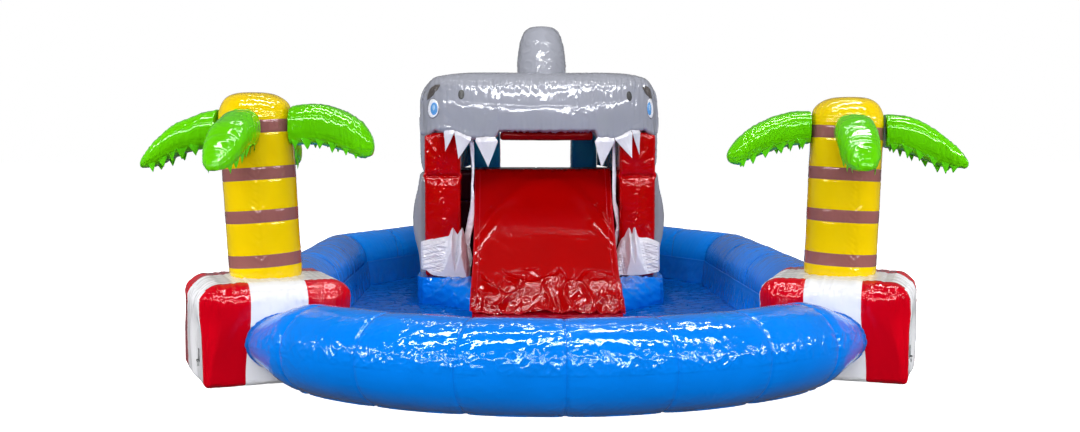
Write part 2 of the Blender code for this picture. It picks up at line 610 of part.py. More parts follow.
def zip_set():
    y = HOUSE_REAR + GAP
    plate("zip_tape", (ZIP_X - 0.022, y, ZIP_Z[0]), (ZIP_X + 0.022, y + 0.004, ZIP_Z[1]), BLACK)
    # slider body with its pull standing under it, at the top of its run
    ys = y + 0.004 + GAP
    zt = ZIP_Z[1] - 0.03
    outline = [(zt, 0.007), (zt - 0.028, 0.005), (zt - 0.030, 0.004), (zt - 0.062, 0.004), (zt - 0.062, -0.004), (zt - 0.030, -0.004), (zt - 0.028, -0.005), (zt, -0.007)]
    rings = [[(ZIP_X + x, ys, z) for z, x in outline], [(ZIP_X + x, ys + 0.006, z) for z, x in outline]]
    loft("zip_slider", rings, STEEL, origin=(ZIP_X, ys + 0.003, zt), smooth=False)
    # weather flap, hung from a seam just above the zip
    yf = y + 0.018
    zf = ZIP_Z[1] + 0.045
    rings = [[(ZIP_X - 0.06, yf, zf), (ZIP_X + 0.06, yf, zf), (ZIP_X + 0.06, yf, ZIP_Z[0] - 0.04), (ZIP_X - 0.06, yf, ZIP_Z[0] - 0.04)],
             [(ZIP_X - 0.06, yf + 0.003, zf), (ZIP_X + 0.06, yf + 0.003, zf), (ZIP_X + 0.06, yf + 0.003, ZIP_Z[0] - 0.04), (ZIP_X - 0.06, yf + 0.003, ZIP_Z[0] - 0.04)]]
    loft("zip_flap", rings, GREY, origin=(ZIP_X, yf + 0.0015, zf), smooth=False)


DRAIN = (1.15, -2.55)


def turned(name, centre, profile, mat, sides=24, origin=None):
    """A ring or disc turned about a vertical axis; profile is (radius, z), first and last on the axis or a closed loop."""
    cx, cy = centre
    verts, faces = [], []
    n = len(profile)
    for r, z in profile:
        verts += [(cx + r * math.cos(2 * math.pi * i / sides), cy + r * math.sin(2 * math.pi * i / sides), z) for i in range(sides)]
    for q in range(n):
        p = (q + 1) % n
        for i in range(sides):
            j = (i + 1) % sides
            faces.append((q * sides + i, q * sides + j, p * sides + j, p * sides + i))
    return add(name, verts, faces, mat, origin or (cx, cy, profile[0][1]))


def drain():
    z0 = FLOOR_T + GAP
    # flange: a flat ring round the outlet, the wall of its short spigot standing up
    turned("drain_flange", DRAIN, [(0.050, z0), (0.050, z0 + 0.003), (0.033, z0 + 0.003), (0.033, z0 + 0.018), (0.027, z0 + 0.018), (0.027, z0)], PLASTIC)
    # cap: a lid with a short plug, lifted straight off
    zc = z0 + 0.018 + GAP
    sides = 24
    rings = []
    for r, z in ((0.024, zc - 0.012), (0.026, zc - 0.010), (0.026, zc), (0.036, zc + 0.0005), (0.036, zc + 0.006), (0.033, zc + 0.008), (0.008, zc + 0.0085), (0.008, zc + 0.016)):
        rings.append([(DRAIN[0] + r * math.cos(2 * math.pi * i / sides), DRAIN[1] + r * math.sin(2 * math.pi * i / sides), z) for i in range(sides)])
    loft("drain_cap", rings, PLASTIC, origin=(DRAIN[0], DRAIN[1], zc))


# ---------------------------------------------------------------- anchors
def anchor(index, point, outward):
    """A strap sewn flat on a wall, its loop holding a D ring that hangs on its straight bar."""
    n = Vector(outward).normalized()
    e = Vector((-n.y, n.x, 0))
    p = Vector(point) + GAP * n
    hw = 0.02
    bar = 0.0105          # bar centre, off the wall
    z_bar = point[2]

    def put(out, z, across):
        q = p + out * n + across * e
        return (q.x, q.y, z)

    # side outline of the strap: flat tab above, round loop at its foot
    outline = [(0.0, z_bar + 0.085), (0.0, z_bar - 0.012)]
    for k in range(9):
        a = math.radians(-150 + 300 * k / 8)
        outline.append((bar + 0.0085 * math.cos(a), z_bar + 0.0085 * math.sin(a)))
    outline += [(0.004, z_bar + 0.012), (0.004, z_bar + 0.085)]
    rings = [[put(o, z, -hw) for o, z in outline], [put(o, z, hw) for o, z in outline]]
    strap = loft("anchor_strap_%d" % index, rings, BLACK, smooth=False)
    hole = []
    for k in range(16):
        a = 2 * math.pi * k / 16
        hole.append((bar + 0.0048 * math.cos(a), z_bar + 0.0048 * math.sin(a)))
    tool = loft("anchor_strap_%d_tool" % index, [[put(o, z, -hw - 0.01) for o, z in hole], [put(o, z, hw + 0.01) for o, z in hole]], BLACK, smooth=False)
    tool.hide_render = True
    tool.display_type = "WIRE"
    m = strap.modifiers.new("loop_bore", "BOOLEAN")
    m.operation = "DIFFERENCE"
    m.object = tool

    # D ring: a straight bar through the loop and a round bow hanging under it
    path = []
    w = 0.026
    for k in range(4):
        path.append((w * (-1 + 2 * k / 3), 0.0))
    for k in range(1, 12):
        a = math.radians(15 - 210 * k / 12)
        path.append((w * 1.02 * math.cos(a), -0.016 + 0.024 * math.sin(a)))
    sides = 8
    verts, faces = [], []
    m_pts = len(path)
    for q, (x, z) in enumerate(path):
        x0, z0 = path[q - 1]
        x1, z1 = path[(q + 1) % m_pts]
        t = Vector((x1 - x0, z1 - z0)).normalized()
        nx, nz = -t.y, t.x
        for i in range(sides):
            b = 2 * math.pi * (i + 0.5) / sides
            du, dv = RING_WIRE * math.cos(b), RING_WIRE * math.sin(b)
            verts.append(put(bar + dv, z_bar + z + nz * du, x + nx * du))
    for q in range(m_pts):
        r = (q + 1) % m_pts
        for i in range(sides):
            j = (i + 1) % sides
            faces.append((q * sides + i, q * sides + j, r * sides + j, r * sides + i))
    add("anchor_ring_%d" % index, verts, faces, STEEL, origin=put(bar, z_bar, 0.0))


# ---------------------------------------------------------------- build
front_tube()
pool_floor()
pool_liner()
for s, w in ((-1, "left"), (1, "right")):
    side_and_back_tube(s, w)
    corner_block(s, w)
    palm(s, w)
    house_base(s, w)
    pillar(s, w)
    gum(s, w)
    tooth_strip(s, w)
    side_wall(s, w)
    rear_column(s, w)
slide()
platform()
cabin_lining()
stairs()
upper_jaw()
head_canopy()
palate()
dorsal_fin()
for i, (a, b, c) in enumerate(TEETH):
    tooth(i + 1, a, b, c)
inflation_sleeve()
zip_set()
drain()
for i, s in enumerate((-1, 1)):
    c, u, t = block_frame(s)
    foot = c + BLOCK_HALF * u + 0.30 * t
    anchor(i + 1, (foot.x, foot.y, 0.17), tuple(u))
for i, s in enumerate((-1, 1)):
    anchor(i + 3, (s * 1.25, HOUSE_REAR, 0.22 if s < 0 else 0.52), (0, 1, 0))

bpy.context.view_layer.update()
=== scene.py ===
"""Looks of the water bounce house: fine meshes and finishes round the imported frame.

Lengths are metres. The layout used here is the construction's own, dimensioned from the
centre of the pool; SHIFT carries it to the row frame.
"""
import math

import bpy
import numpy as np
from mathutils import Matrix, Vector
from mathutils.bvhtree import BVHTree


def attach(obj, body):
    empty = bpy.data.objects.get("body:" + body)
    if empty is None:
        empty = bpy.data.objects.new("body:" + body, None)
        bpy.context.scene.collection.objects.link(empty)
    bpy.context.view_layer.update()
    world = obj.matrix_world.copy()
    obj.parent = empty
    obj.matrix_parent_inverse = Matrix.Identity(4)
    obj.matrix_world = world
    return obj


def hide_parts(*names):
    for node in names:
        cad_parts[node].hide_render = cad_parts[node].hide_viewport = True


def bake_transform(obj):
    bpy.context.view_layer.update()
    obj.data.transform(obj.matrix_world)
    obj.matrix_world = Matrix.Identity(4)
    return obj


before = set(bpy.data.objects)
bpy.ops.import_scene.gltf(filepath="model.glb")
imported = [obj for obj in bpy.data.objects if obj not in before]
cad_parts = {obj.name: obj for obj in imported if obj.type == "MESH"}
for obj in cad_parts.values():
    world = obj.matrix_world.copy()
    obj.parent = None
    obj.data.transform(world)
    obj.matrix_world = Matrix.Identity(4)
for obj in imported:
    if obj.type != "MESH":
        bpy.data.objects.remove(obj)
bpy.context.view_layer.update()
SHIFT = np.array([0.0109, -0.3830, 0.0])
FINE = 1.0


# ================================================================ camera and light
def camera():
    cam = bpy.data.cameras.new("camera")
    cam.sensor_width = 36.0
    cam.lens = 40.0
    ob = bpy.data.objects.new("camera", cam)
    bpy.context.scene.collection.objects.link(ob)
    ob.location = (-0.3691, -12.083, 1.757)
    ob.rotation_euler = (math.radians(90 - 3.62), 0.0, math.radians(-1.67))
    cam.clip_end = 200.0
    bpy.context.scene.camera = ob


def area(name, at, look, size, power, colour=(1, 1, 1), gloss=True):
    """A soft box; one without gloss lights the colours only and leaves no reflection."""
    li = bpy.data.lights.new(name, "AREA")
    li.shape = "RECTANGLE"
    li.size, li.size_y = size
    li.energy = power
    li.color = colour
    ob = bpy.data.objects.new(name, li)
    bpy.context.scene.collection.objects.link(ob)
    ob.location = at
    ob.rotation_euler = (Vector(look) - Vector(at)).to_track_quat("-Z", "Y").to_euler()
    ob.visible_camera = False
    ob.visible_glossy = gloss
    return ob


def studio_world():
    """A pale hall: bright behind the object and overhead, darker in front of it and below."""
    w = bpy.data.worlds.new("studio")
    bpy.context.scene.world = w
    w.use_nodes = True
    nt = w.node_tree
    N = nt.nodes.new
    co = N("ShaderNodeTexCoord")
    sep = N("ShaderNodeSeparateXYZ")
    nt.links.new(co.outputs["Generated"], sep.inputs["Vector"])
    back = N("ShaderNodeMapRange")
    back.interpolation_type = "SMOOTHSTEP"
    back.inputs["From Min"].default_value, back.inputs["From Max"].default_value = -0.25, 0.75
    back.inputs["To Min"].default_value, back.inputs["To Max"].default_value = WORLD[0], WORLD[1]
    nt.links.new(sep.outputs["Y"], back.inputs["Value"])
    low = N("ShaderNodeMapRange")
    low.interpolation_type = "SMOOTHSTEP"
    low.inputs["From Min"].default_value, low.inputs["From Max"].default_value = -0.12, 0.05
    low.inputs["To Min"].default_value, low.inputs["To Max"].default_value = WORLD[2], 1.0
    nt.links.new(sep.outputs["Z"], low.inputs["Value"])
    mul = N("ShaderNodeMath")
    mul.operation = "MULTIPLY"
    nt.links.new(back.outputs["Result"], mul.inputs[0])
    nt.links.new(low.outputs["Result"], mul.inputs[1])
    hall = nt.nodes["Background"]
    hall.inputs["Color"].default_value = (0.90, 0.92, 1.0, 1.0)
    nt.links.new(mul.outputs["Value"], hall.inputs["Strength"])
    plain = N("ShaderNodeBackground")
    plain.inputs["Color"].default_value = (1.0, 1.0, 1.0, 1.0)
    plain.inputs["Strength"].default_value = 1.0
    path = N("ShaderNodeLightPath")
    mix = N("ShaderNodeMixShader")
    nt.links.new(path.outputs["Is Camera Ray"], mix.inputs[0])
    nt.links.new(hall.outputs["Background"], mix.inputs[1])
    nt.links.new(plain.outputs["Background"], mix.inputs[2])
    nt.links.new(mix.outputs["Shader"], nt.nodes["World Output"].inputs["Surface"])


WORLD = (0.015, 0.20, 0.6)       # in front, behind, and the share below the horizon


def stage():
    studio_world()
    area("fill_front", (0.0, -15.0, 3.2), (0.0, -1.0, 0.9), (16.0, 6.4), 1640, gloss=False)
    area("fill_top", (0.0, -2.5, 9.5), (0.0, -0.5, 0.0), (12.0, 9.0), 400, gloss=False)
    area("fill_far", (0.0, 1.5, 8.5), (0.0, 4.0, 0.4), (9.0, 4.0), 260, gloss=False)
    area("fill_left", (-11.5, -4.0, 4.0), (0.0, 0.0, 0.8), (7.0, 5.0), 900, gloss=False)
    area("fill_right", (11.5, -4.0, 4.0), (0.0, 0.0, 0.8), (7.0, 5.0), 900, gloss=False)
    area("fill_rear", (0.0, 14.0, 4.5), (0.0, 1.0, 0.8), (14.0, 6.0), 420, gloss=False)
    # rows of lamps, seen only as the bright lines on the glossy skins
    for y, z, wide, deep, power in ((-13.5, 4.9, 26.0, 0.70, 2350), (-12.6, 7.2, 24.0, 0.40, 900), (-7.4, 9.2, 18.0, 0.80, 2500), (-3.2, 9.0, 12.0, 0.60, 1250), (0.55, 9.0, 9.0, 0.13, 190)):
        area("row_%d" % round(10 * abs(y)), (0.5, y, z), (0.2, -2.0, 0.4), (wide, deep), power).visible_diffuse = False
    for end in (-1, 1):
        area("row_end_%s" % ("left" if end < 0 else "right"), (end * 14.5, -9.5, 5.2), (end * 2.2, -3.2, 0.4), (9.0, 0.75), 900).visible_diffuse = False
    me = bpy.data.meshes.new("floor")
    me.from_pydata([(-60, -40, -0.0008), (60, -40, -0.0008), (60, 80, -0.0008), (-60, 80, -0.0008)], [], [(0, 1, 2, 3)])
    fl = bpy.data.objects.new("floor", me)
    bpy.context.scene.collection.objects.link(fl)
    m = bpy.data.materials.new("floor_pale")
    m.use_nodes = True
    b = m.node_tree.nodes["Principled BSDF"]
    b.inputs["Base Color"].default_value = (0.86, 0.86, 0.87, 1)
    b.inputs["Roughness"].default_value = 0.8
    b.inputs["Specular IOR Level"].default_value = 0.1
    b.inputs["Emission Color"].default_value = (1, 1, 1, 1)
    b.inputs["Emission Strength"].default_value = 0.97
    me.materials.append(m)
    fl.visible_glossy = False
    fl.visible_diffuse = False
    bpy.context.scene.view_settings.view_transform = "Standard"
    bpy.context.scene.view_settings.look = "None"


camera()
stage()


# ================================================================ numbers
_r = np.random.RandomState(11)
_perm = _r.permutation(256)
_perm = np.concatenate([_perm, _perm, _perm])
_g = _r.normal(size=(256, 3))
_g /= np.linalg.norm(_g, axis=1)[:, None]


def noise(x, y, z=0.0):
    """Smooth gradient noise, about -0.6 to 0.6, with cells of size 1."""
    x, y, z = np.broadcast_arrays(np.asarray(x, float), np.asarray(y, float), np.asarray(z, float))
    ix, iy, iz = np.floor(x).astype(int), np.floor(y).astype(int), np.floor(z).astype(int)
    fx, fy, fz = x - ix, y - iy, z - iz
    ix, iy, iz = ix & 255, iy & 255, iz & 255
    u, v, w = (f * f * f * (f * (f * 6 - 15) + 10) for f in (fx, fy, fz))

    def corner(a, b, c):
        h = _perm[(_perm[(_perm[(ix + a) & 255] + iy + b) & 255] + iz + c) & 255]
        q = _g[h]
        return q[..., 0] * (fx - a) + q[..., 1] * (fy - b) + q[..., 2] * (fz - c)

    def mix(p, q, t):
        return p + (q - p) * t
    return mix(mix(mix(corner(0, 0, 0), corner(1, 0, 0), u), mix(corner(0, 1, 0), corner(1, 1, 0), u), v),
               mix(mix(corner(0, 0, 1), corner(1, 0, 1), u), mix(corner(0, 1, 1), corner(1, 1, 1), u), v), w)


def fbm(x, y, z=0.0, octaves=3):
    out, a = 0.0, 1.0
    for k in range(octaves):
        out = out + a * noise(np.asarray(x) * 2 ** k + 17.3 * k, np.asarray(y) * 2 ** k - 9.1 * k, np.asarray(z) * 2 ** k + 4.7 * k)
        a *= 0.5
    return out


def fold(n, width=0.12):
    """Narrow raised creases along the zero lines of a noise."""
    return np.clip(1.0 - np.abs(n) / width, 0.0, 1.0) ** 1.5


def smooth(a, b, x):
    t = np.clip((np.asarray(x, float) - a) / (b - a), 0.0, 1.0)
    return t * t * (3 - 2 * t)


def curve(xs, ys):
    """A smooth line through points: cubic with slopes from the neighbours, kept from overshooting."""
    xs, ys = np.asarray(xs, float), np.asarray(ys, float)
    d = np.diff(ys) / np.diff(xs)
    m = np.empty(len(xs))
    m[0], m[-1] = d[0], d[-1]
    for i in range(1, len(xs) - 1):
        if d[i - 1] * d[i] <= 0:
            m[i] = 0.0
        else:
            h0, h1 = xs[i] - xs[i - 1], xs[i + 1] - xs[i]
            w1, w2 = 2 * h1 + h0, h1 + 2 * h0
            m[i] = (w1 + w2) / (w1 / d[i - 1] + w2 / d[i])

    def f(x):
        x = np.clip(np.asarray(x, float), xs[0], xs[-1])
        i = np.clip(np.searchsorted(xs, x, side="right") - 1, 0, len(xs) - 2)
        h = xs[i + 1] - xs[i]
        t = (x - xs[i]) / h
        return ((2 * t ** 3 - 3 * t ** 2 + 1) * ys[i] + (t ** 3 - 2 * t ** 2 + t) * h * m[i]
                + (-2 * t ** 3 + 3 * t ** 2) * ys[i + 1] + (t ** 3 - t ** 2) * h * m[i + 1])
    return f


def ticks(lo, hi, cell, forced=()):
    """Grid lines from lo to hi, about a cell apart, that pass through the forced values."""
    cell = cell * FINE
    stops = sorted({lo, hi, *[f for f in forced if lo < f < hi]})
    out = [lo]
    for a, b in zip(stops, stops[1:]):
        n = max(1, int(round((b - a) / cell)))
        out += list(np.linspace(a, b, n + 1)[1:])
    return np.array(out)


def unit(v):
    return v / np.maximum(np.linalg.norm(v, axis=-1, keepdims=True), 1e-12)


def grid_normals(P, close_u=False, close_v=False):
    """Unit normals of a grid of points, from its neighbours, as du x dv."""
    def diff(A, axis, closed):
        if closed:
            return np.roll(A, -1, axis) - np.roll(A, 1, axis)
        return np.gradient(A, axis=axis)
    return unit(np.cross(diff(P, 0, close_u), diff(P, 1, close_v)))


def grid_faces(nu, nv, close_u=False, close_v=False, base=0, flip=False):
    iu = np.arange(nu if close_u else nu - 1)
    iv = np.arange(nv if close_v else nv - 1)
    a, b = np.meshgrid(iu, iv, indexing="ij")
    a1, b1 = (a + 1) % nu, (b + 1) % nv
    q = np.stack([a * nv + b, a1 * nv + b, a1 * nv + b1, a * nv + b1], -1).reshape(-1, 4) + base
    return q[:, ::-1] if flip else q


class Shape:
    """Points and faces gathered from several grids into one mesh."""

    def __init__(self):
        self.v, self.f, self.m, self.a = [], [], [], []
        self.n = 0

    def verts(self, P, along=None):
        P = np.asarray(P, float).reshape(-1, 3)
        self.v.append(P)
        self.a.append(np.zeros(len(P)) if along is None else np.asarray(along, float).ravel())
        self.n += len(P)
        return self.n - len(P)

    def faces(self, F, mat=0):
        F = np.asarray(F)
        self.f += F.tolist()
        self.m += [mat] * len(F) if np.isscalar(mat) else list(np.asarray(mat).astype(int))

    def grid(self, P, close_u=False, close_v=False, mat=0, flip=False, along=None, cap0=False, cap1=False, cap_mat=None):
        nu, nv = P.shape[:2]
        base = self.verts(P, along)
        self.faces(grid_faces(nu, nv, close_u, close_v, base, flip), mat)
        cm = cap_mat if cap_mat is not None else (mat if np.isscalar(mat) else 0)
        for on, row, rev in ((cap0, 0, flip), (cap1, nu - 1, not flip)):
            if on:
                c = self.verts(P[row].mean(0)[None, :])
                j = np.arange(nv)
                k = (j + 1) % nv
                t = np.stack([np.full(nv, c), base + row * nv + j, base + row * nv + k], -1)
                self.faces(t[:, ::-1] if rev else t, cm)
        return base


def piece(name, shape, mats, body="house", replaces=(), sharp=None, keep_layout=True):
    me = bpy.data.meshes.new(name)
    V = np.concatenate(shape.v) + (SHIFT if keep_layout else 0.0)
    me.from_pydata(V.tolist(), [], shape.f)
    me.polygons.foreach_set("material_index", np.array(shape.m, np.int32))
    for m in mats:
        me.materials.append(m)
    me.validate()
    me.update()
    me.shade_smooth()
    if sharp:
        me.set_sharp_from_angle(angle=math.radians(sharp))
    if any(np.any(a) for a in shape.a):
        at = me.attributes.new("along", "FLOAT", "POINT")
        at.data.foreach_set("value", np.concatenate(shape.a).astype(np.float32))
    ob = bpy.data.objects.new(name, me)
    bpy.context.scene.collection.objects.link(ob)
    if body:
        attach(ob, body)
    if replaces:
        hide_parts(*replaces)
    return ob


def block(half, r, cells, forced=((), (), ())):
    """Surface grid of a rounded box about the origin: points, normals, quads, and the side (0..5) of each quad."""
    T = []
    for h, f in zip(half, forced):
        rr = min(r, 0.95 * h)
        k = max(3, int(round(rr * 1.5708 / (cells * FINE))))
        edge = np.linspace(h - rr, h, k + 1)
        inner = ticks(-(h - rr), h - rr, cells, f)
        T.append(np.concatenate([-edge[::-1][:-1], inner, edge[1:]]))
    nx, ny, nz = (len(t) for t in T)
    I = np.full((nx, ny, nz), -1, int)
    on = np.zeros((nx, ny, nz), bool)
    on[0], on[-1], on[:, 0], on[:, -1], on[:, :, 0], on[:, :, -1] = (True,) * 6
    I[on] = np.arange(on.sum())
    ii = np.argwhere(on)
    P = np.stack([T[0][ii[:, 0]], T[1][ii[:, 1]], T[2][ii[:, 2]]], 1)
    h = np.array(half)
    core = np.clip(P, -(h - np.minimum(r, 0.95 * h)), h - np.minimum(r, 0.95 * h))
    d = P - core
    N = unit(d)
    rr = np.minimum(r, 0.95 * h)
    Q = core + N * rr.min() if np.ptp(rr) < 1e-9 else core + N * rr
    F, S = [], []

    def side(A, k, flip):
        a = A[:-1, :-1].ravel(); b = A[1:, :-1].ravel(); c = A[1:, 1:].ravel(); e = A[:-1, 1:].ravel()
        q = np.stack([a, b, c, e], 1)
        F.append(q[:, ::-1] if flip else q)
        S.append(np.full(len(q), k))
    side(I[0], 0, True); side(I[-1], 1, False)
    side(I[:, 0], 2, False); side(I[:, -1], 3, True)
    side(I[:, :, 0], 4, True); side(I[:, :, -1], 5, False)
    return Q, N, np.concatenate(F), np.concatenate(S), P


# ================================================================ finishes
def nodes_of(name):
    m = bpy.data.materials.new(name)
    m.use_nodes = True
    nt = m.node_tree
    return m, nt, nt.nodes["Principled BSDF"]


def link(nt, a, b):
    nt.links.new(a, b)


def vinyl(name, colour, rough=0.10, crinkle=0.2, crinkle_size=26.0, cloud=0.05, stretch=(1, 1, 1), coat=0.46, scuff=0.035, dirt=0.0, spec=0.28):
    """Glossy coated fabric: cloudy dye, fine crinkles, the mesh of the base cloth, and paler scuffs on the ridges."""
    m, nt, b = nodes_of(name)
    N = nt.nodes.new
    co = N("ShaderNodeTexCoord")
    mp = N("ShaderNodeMapping")
    mp.inputs["Scale"].default_value = stretch
    link(nt, co.outputs["Object"], mp.inputs["Vector"])
    cl = N("ShaderNodeTexNoise")
    cl.inputs["Scale"].default_value = 2.3
    cl.inputs["Detail"].default_value = 4
    link(nt, co.outputs["Object"], cl.inputs["Vector"])
    ramp = N("ShaderNodeValToRGB")
    ramp.color_ramp.elements[0].position, ramp.color_ramp.elements[1].position = 0.3, 0.72
    c = np.array(colour)
    ramp.color_ramp.elements[0].color = (*np.clip(c * (1 - 1.6 * cloud), 0, 1), 1)
    ramp.color_ramp.elements[1].color = (*np.clip(c * (1 + cloud), 0, 1), 1)
    link(nt, cl.outputs["Fac"], ramp.inputs["Fac"])
    geo = N("ShaderNodeNewGeometry")
    edge = N("ShaderNodeMapRange")
    edge.inputs["From Min"].default_value, edge.inputs["From Max"].default_value = 0.515, 0.60
    edge.inputs["To Min"].default_value, edge.inputs["To Max"].default_value = 0.0, scuff
    link(nt, geo.outputs["Pointiness"], edge.inputs["Value"])
    rub = N("ShaderNodeTexNoise")
    rub.inputs["Scale"].default_value = 42.0
    rub.inputs["Detail"].default_value = 5
    link(nt, co.outputs["Object"], rub.inputs["Vector"])
    rr = N("ShaderNodeMapRange")
    rr.inputs["From Min"].default_value, rr.inputs["From Max"].default_value = 0.48, 0.68
    link(nt, rub.outputs["Fac"], rr.inputs["Value"])
    mul = N("ShaderNodeMath")
    mul.operation = "MULTIPLY"
    link(nt, edge.outputs["Result"], mul.inputs[0])
    link(nt, rr.outputs["Result"], mul.inputs[1])
    mix = N("ShaderNodeMix")
    mix.data_type = "RGBA"
    link(nt, mul.outputs["Value"], mix.inputs["Factor"])
    link(nt, ramp.outputs["Color"], mix.inputs[6])
    mix.inputs[7].default_value = (*np.clip(c * 0.8 + 0.16, 0, 1), 1)
    last = mix.outputs[2]
    if dirt:
        sep = N("ShaderNodeSeparateXYZ")
        link(nt, co.outputs["Object"], sep.inputs["Vector"])
        lowm = N("ShaderNodeMapRange")
        lowm.inputs["From Min"].default_value, lowm.inputs["From Max"].default_value = 0.0, 0.16
        lowm.inputs["To Min"].default_value, lowm.inputs["To Max"].default_value = dirt, 0.0
        link(nt, sep.outputs["Z"], lowm.inputs["Value"])
        dn = N("ShaderNodeMath")
        dn.operation = "MULTIPLY"
        link(nt, lowm.outputs["Result"], dn.inputs[0])
        link(nt, rub.outputs["Fac"], dn.inputs[1])
        dm = N("ShaderNodeMix")
        dm.data_type = "RGBA"
        link(nt, dn.outputs["Value"], dm.inputs["Factor"])
        link(nt, last, dm.inputs[6])
        dm.inputs[7].default_value = (0.22, 0.20, 0.17, 1)
        last = dm.outputs[2]
    link(nt, last, b.inputs["Base Color"])
    # gloss, a little uneven
    gl = N("ShaderNodeTexNoise")
    gl.inputs["Scale"].default_value = 7.0
    gl.inputs["Detail"].default_value = 6
    link(nt, co.outputs["Object"], gl.inputs["Vector"])
    gr = N("ShaderNodeMapRange")
    gr.inputs["From Min"].default_value, gr.inputs["From Max"].default_value = 0.3, 0.75
    gr.inputs["To Min"].default_value, gr.inputs["To Max"].default_value = rough * 0.6, rough * 1.2
    link(nt, gl.outputs["Fac"], gr.inputs["Value"])
    link(nt, gr.outputs["Result"], b.inputs["Roughness"])
    # crinkles
    w1 = N("ShaderNodeTexNoise")
    w1.inputs["Scale"].default_value = crinkle_size * 0.55
    w1.inputs["Detail"].default_value = 1
    w1.inputs["Distortion"].default_value = 0.6
    link(nt, mp.outputs["Vector"], w1.inputs["Vector"])
    w2 = N("ShaderNodeTexVoronoi")
    w2.feature = "DISTANCE_TO_EDGE"
    w2.inputs["Scale"].default_value = crinkle_size * 0.42
    warp = N("ShaderNodeVectorMath")
    warp.operation = "MULTIPLY_ADD"
    wn = N("ShaderNodeTexNoise")
    wn.inputs["Scale"].default_value = crinkle_size * 0.3
    link(nt, mp.outputs["Vector"], wn.inputs["Vector"])
    link(nt, wn.outputs["Color"], warp.inputs[0])
    warp.inputs[1].default_value = (0.06, 0.06, 0.06)
    link(nt, mp.outputs["Vector"], warp.inputs[2])
    link(nt, warp.outputs["Vector"], w2.inputs["Vector"])
    vr = N("ShaderNodeMapRange")
    vr.inputs["From Min"].default_value, vr.inputs["From Max"].default_value = 0.0, 0.12
    vr.inputs["To Min"].default_value, vr.inputs["To Max"].default_value = 1.0, 0.0
    link(nt, w2.outputs["Distance"], vr.inputs["Value"])
    patch = N("ShaderNodeTexNoise")
    patch.inputs["Scale"].default_value = 1.9
    patch.inputs["Detail"].default_value = 2
    link(nt, co.outputs["Object"], patch.inputs["Vector"])
    pr = N("ShaderNodeMapRange")
    pr.inputs["From Min"].default_value, pr.inputs["From Max"].default_value = 0.45, 0.65
    link(nt, patch.outputs["Fac"], pr.inputs["Value"])
    vm = N("ShaderNodeMath")
    vm.operation = "MULTIPLY"
    link(nt, vr.outputs["Result"], vm.inputs[0])
    link(nt, pr.outputs["Result"], vm.inputs[1])
    add = N("ShaderNodeMath")
    add.operation = "MULTIPLY_ADD"
    link(nt, vm.outputs["Value"], add.inputs[0])
    add.inputs[1].default_value = 0.5
    link(nt, w1.outputs["Fac"], add.inputs[2])
    b1 = N("ShaderNodeBump")
    b1.inputs["Strength"].default_value = crinkle
    b1.inputs["Distance"].default_value = 0.004
    link(nt, add.outputs["Value"], b1.inputs["Height"])
    # base cloth showing faintly through the coat
    wv = N("ShaderNodeTexVoronoi")
    wv.distance = "CHEBYCHEV"
    wv.inputs["Scale"].default_value = 420.0
    wv.inputs["Randomness"].default_value = 0.12
    link(nt, co.outputs["Object"], wv.inputs["Vector"])
    b2 = N("ShaderNodeBump")
    b2.inputs["Strength"].default_value = 0.012
    b2.inputs["Distance"].default_value = 0.0004
    link(nt, wv.outputs["Distance"], b2.inputs["Height"])
    link(nt, b1.outputs["Normal"], b2.inputs["Normal"])
    link(nt, b2.outputs["Normal"], b.inputs["Normal"])
    b.inputs["Coat Weight"].default_value = coat
    b.inputs["Coat Roughness"].default_value = 0.045
    b.inputs["Specular IOR Level"].default_value = spec
    b.inputs["Specular Tint"].default_value = (*np.clip(c * 1.3 + 0.03, 0, 1), 1)
    return m


def stitched(name, colour, thread=(0.75, 0.75, 0.78), pitch=0.008):
    """Welded seam tape with a dashed row of thread along it; the attribute along is the distance run."""
    m, nt, b = nodes_of(name)
    N = nt.nodes.new
    at = N("ShaderNodeAttribute")
    at.attribute_name = "along"
    sc = N("ShaderNodeMath")
    sc.operation = "MULTIPLY"
    sc.inputs[1].default_value = 1.0 / pitch
    link(nt, at.outputs["Fac"], sc.inputs[0])
    fr = N("ShaderNodeMath")
    fr.operation = "FRACT"
    link(nt, sc.outputs["Value"], fr.inputs[0])
    dash = N("ShaderNodeMapRange")
    dash.inputs["From Min"].default_value, dash.inputs["From Max"].default_value = 0.55, 0.68
    link(nt, fr.outputs["Value"], dash.inputs["Value"])
    mix = N("ShaderNodeMix")
    mix.data_type = "RGBA"
    mix.inputs[6].default_value = (*thread, 1)
    mix.inputs[7].default_value = (*colour, 1)
    link(nt, dash.outputs["Result"], mix.inputs["Factor"])
    link(nt, mix.outputs[2], b.inputs["Base Color"])
    bp = N("ShaderNodeBump")
    bp.inputs["Strength"].default_value = 0.5
    bp.inputs["Distance"].default_value = 0.0012
    bp.invert = True
    link(nt, dash.outputs["Result"], bp.inputs["Height"])
    link(nt, bp.outputs["Normal"], b.inputs["Normal"])
    b.inputs["Roughness"].default_value = 0.35
    b.inputs["Specular IOR Level"].default_value = 0.12
    b.inputs["Specular Tint"].default_value = (*np.clip(np.array(colour) + 0.02, 0, 1), 1)
    return m


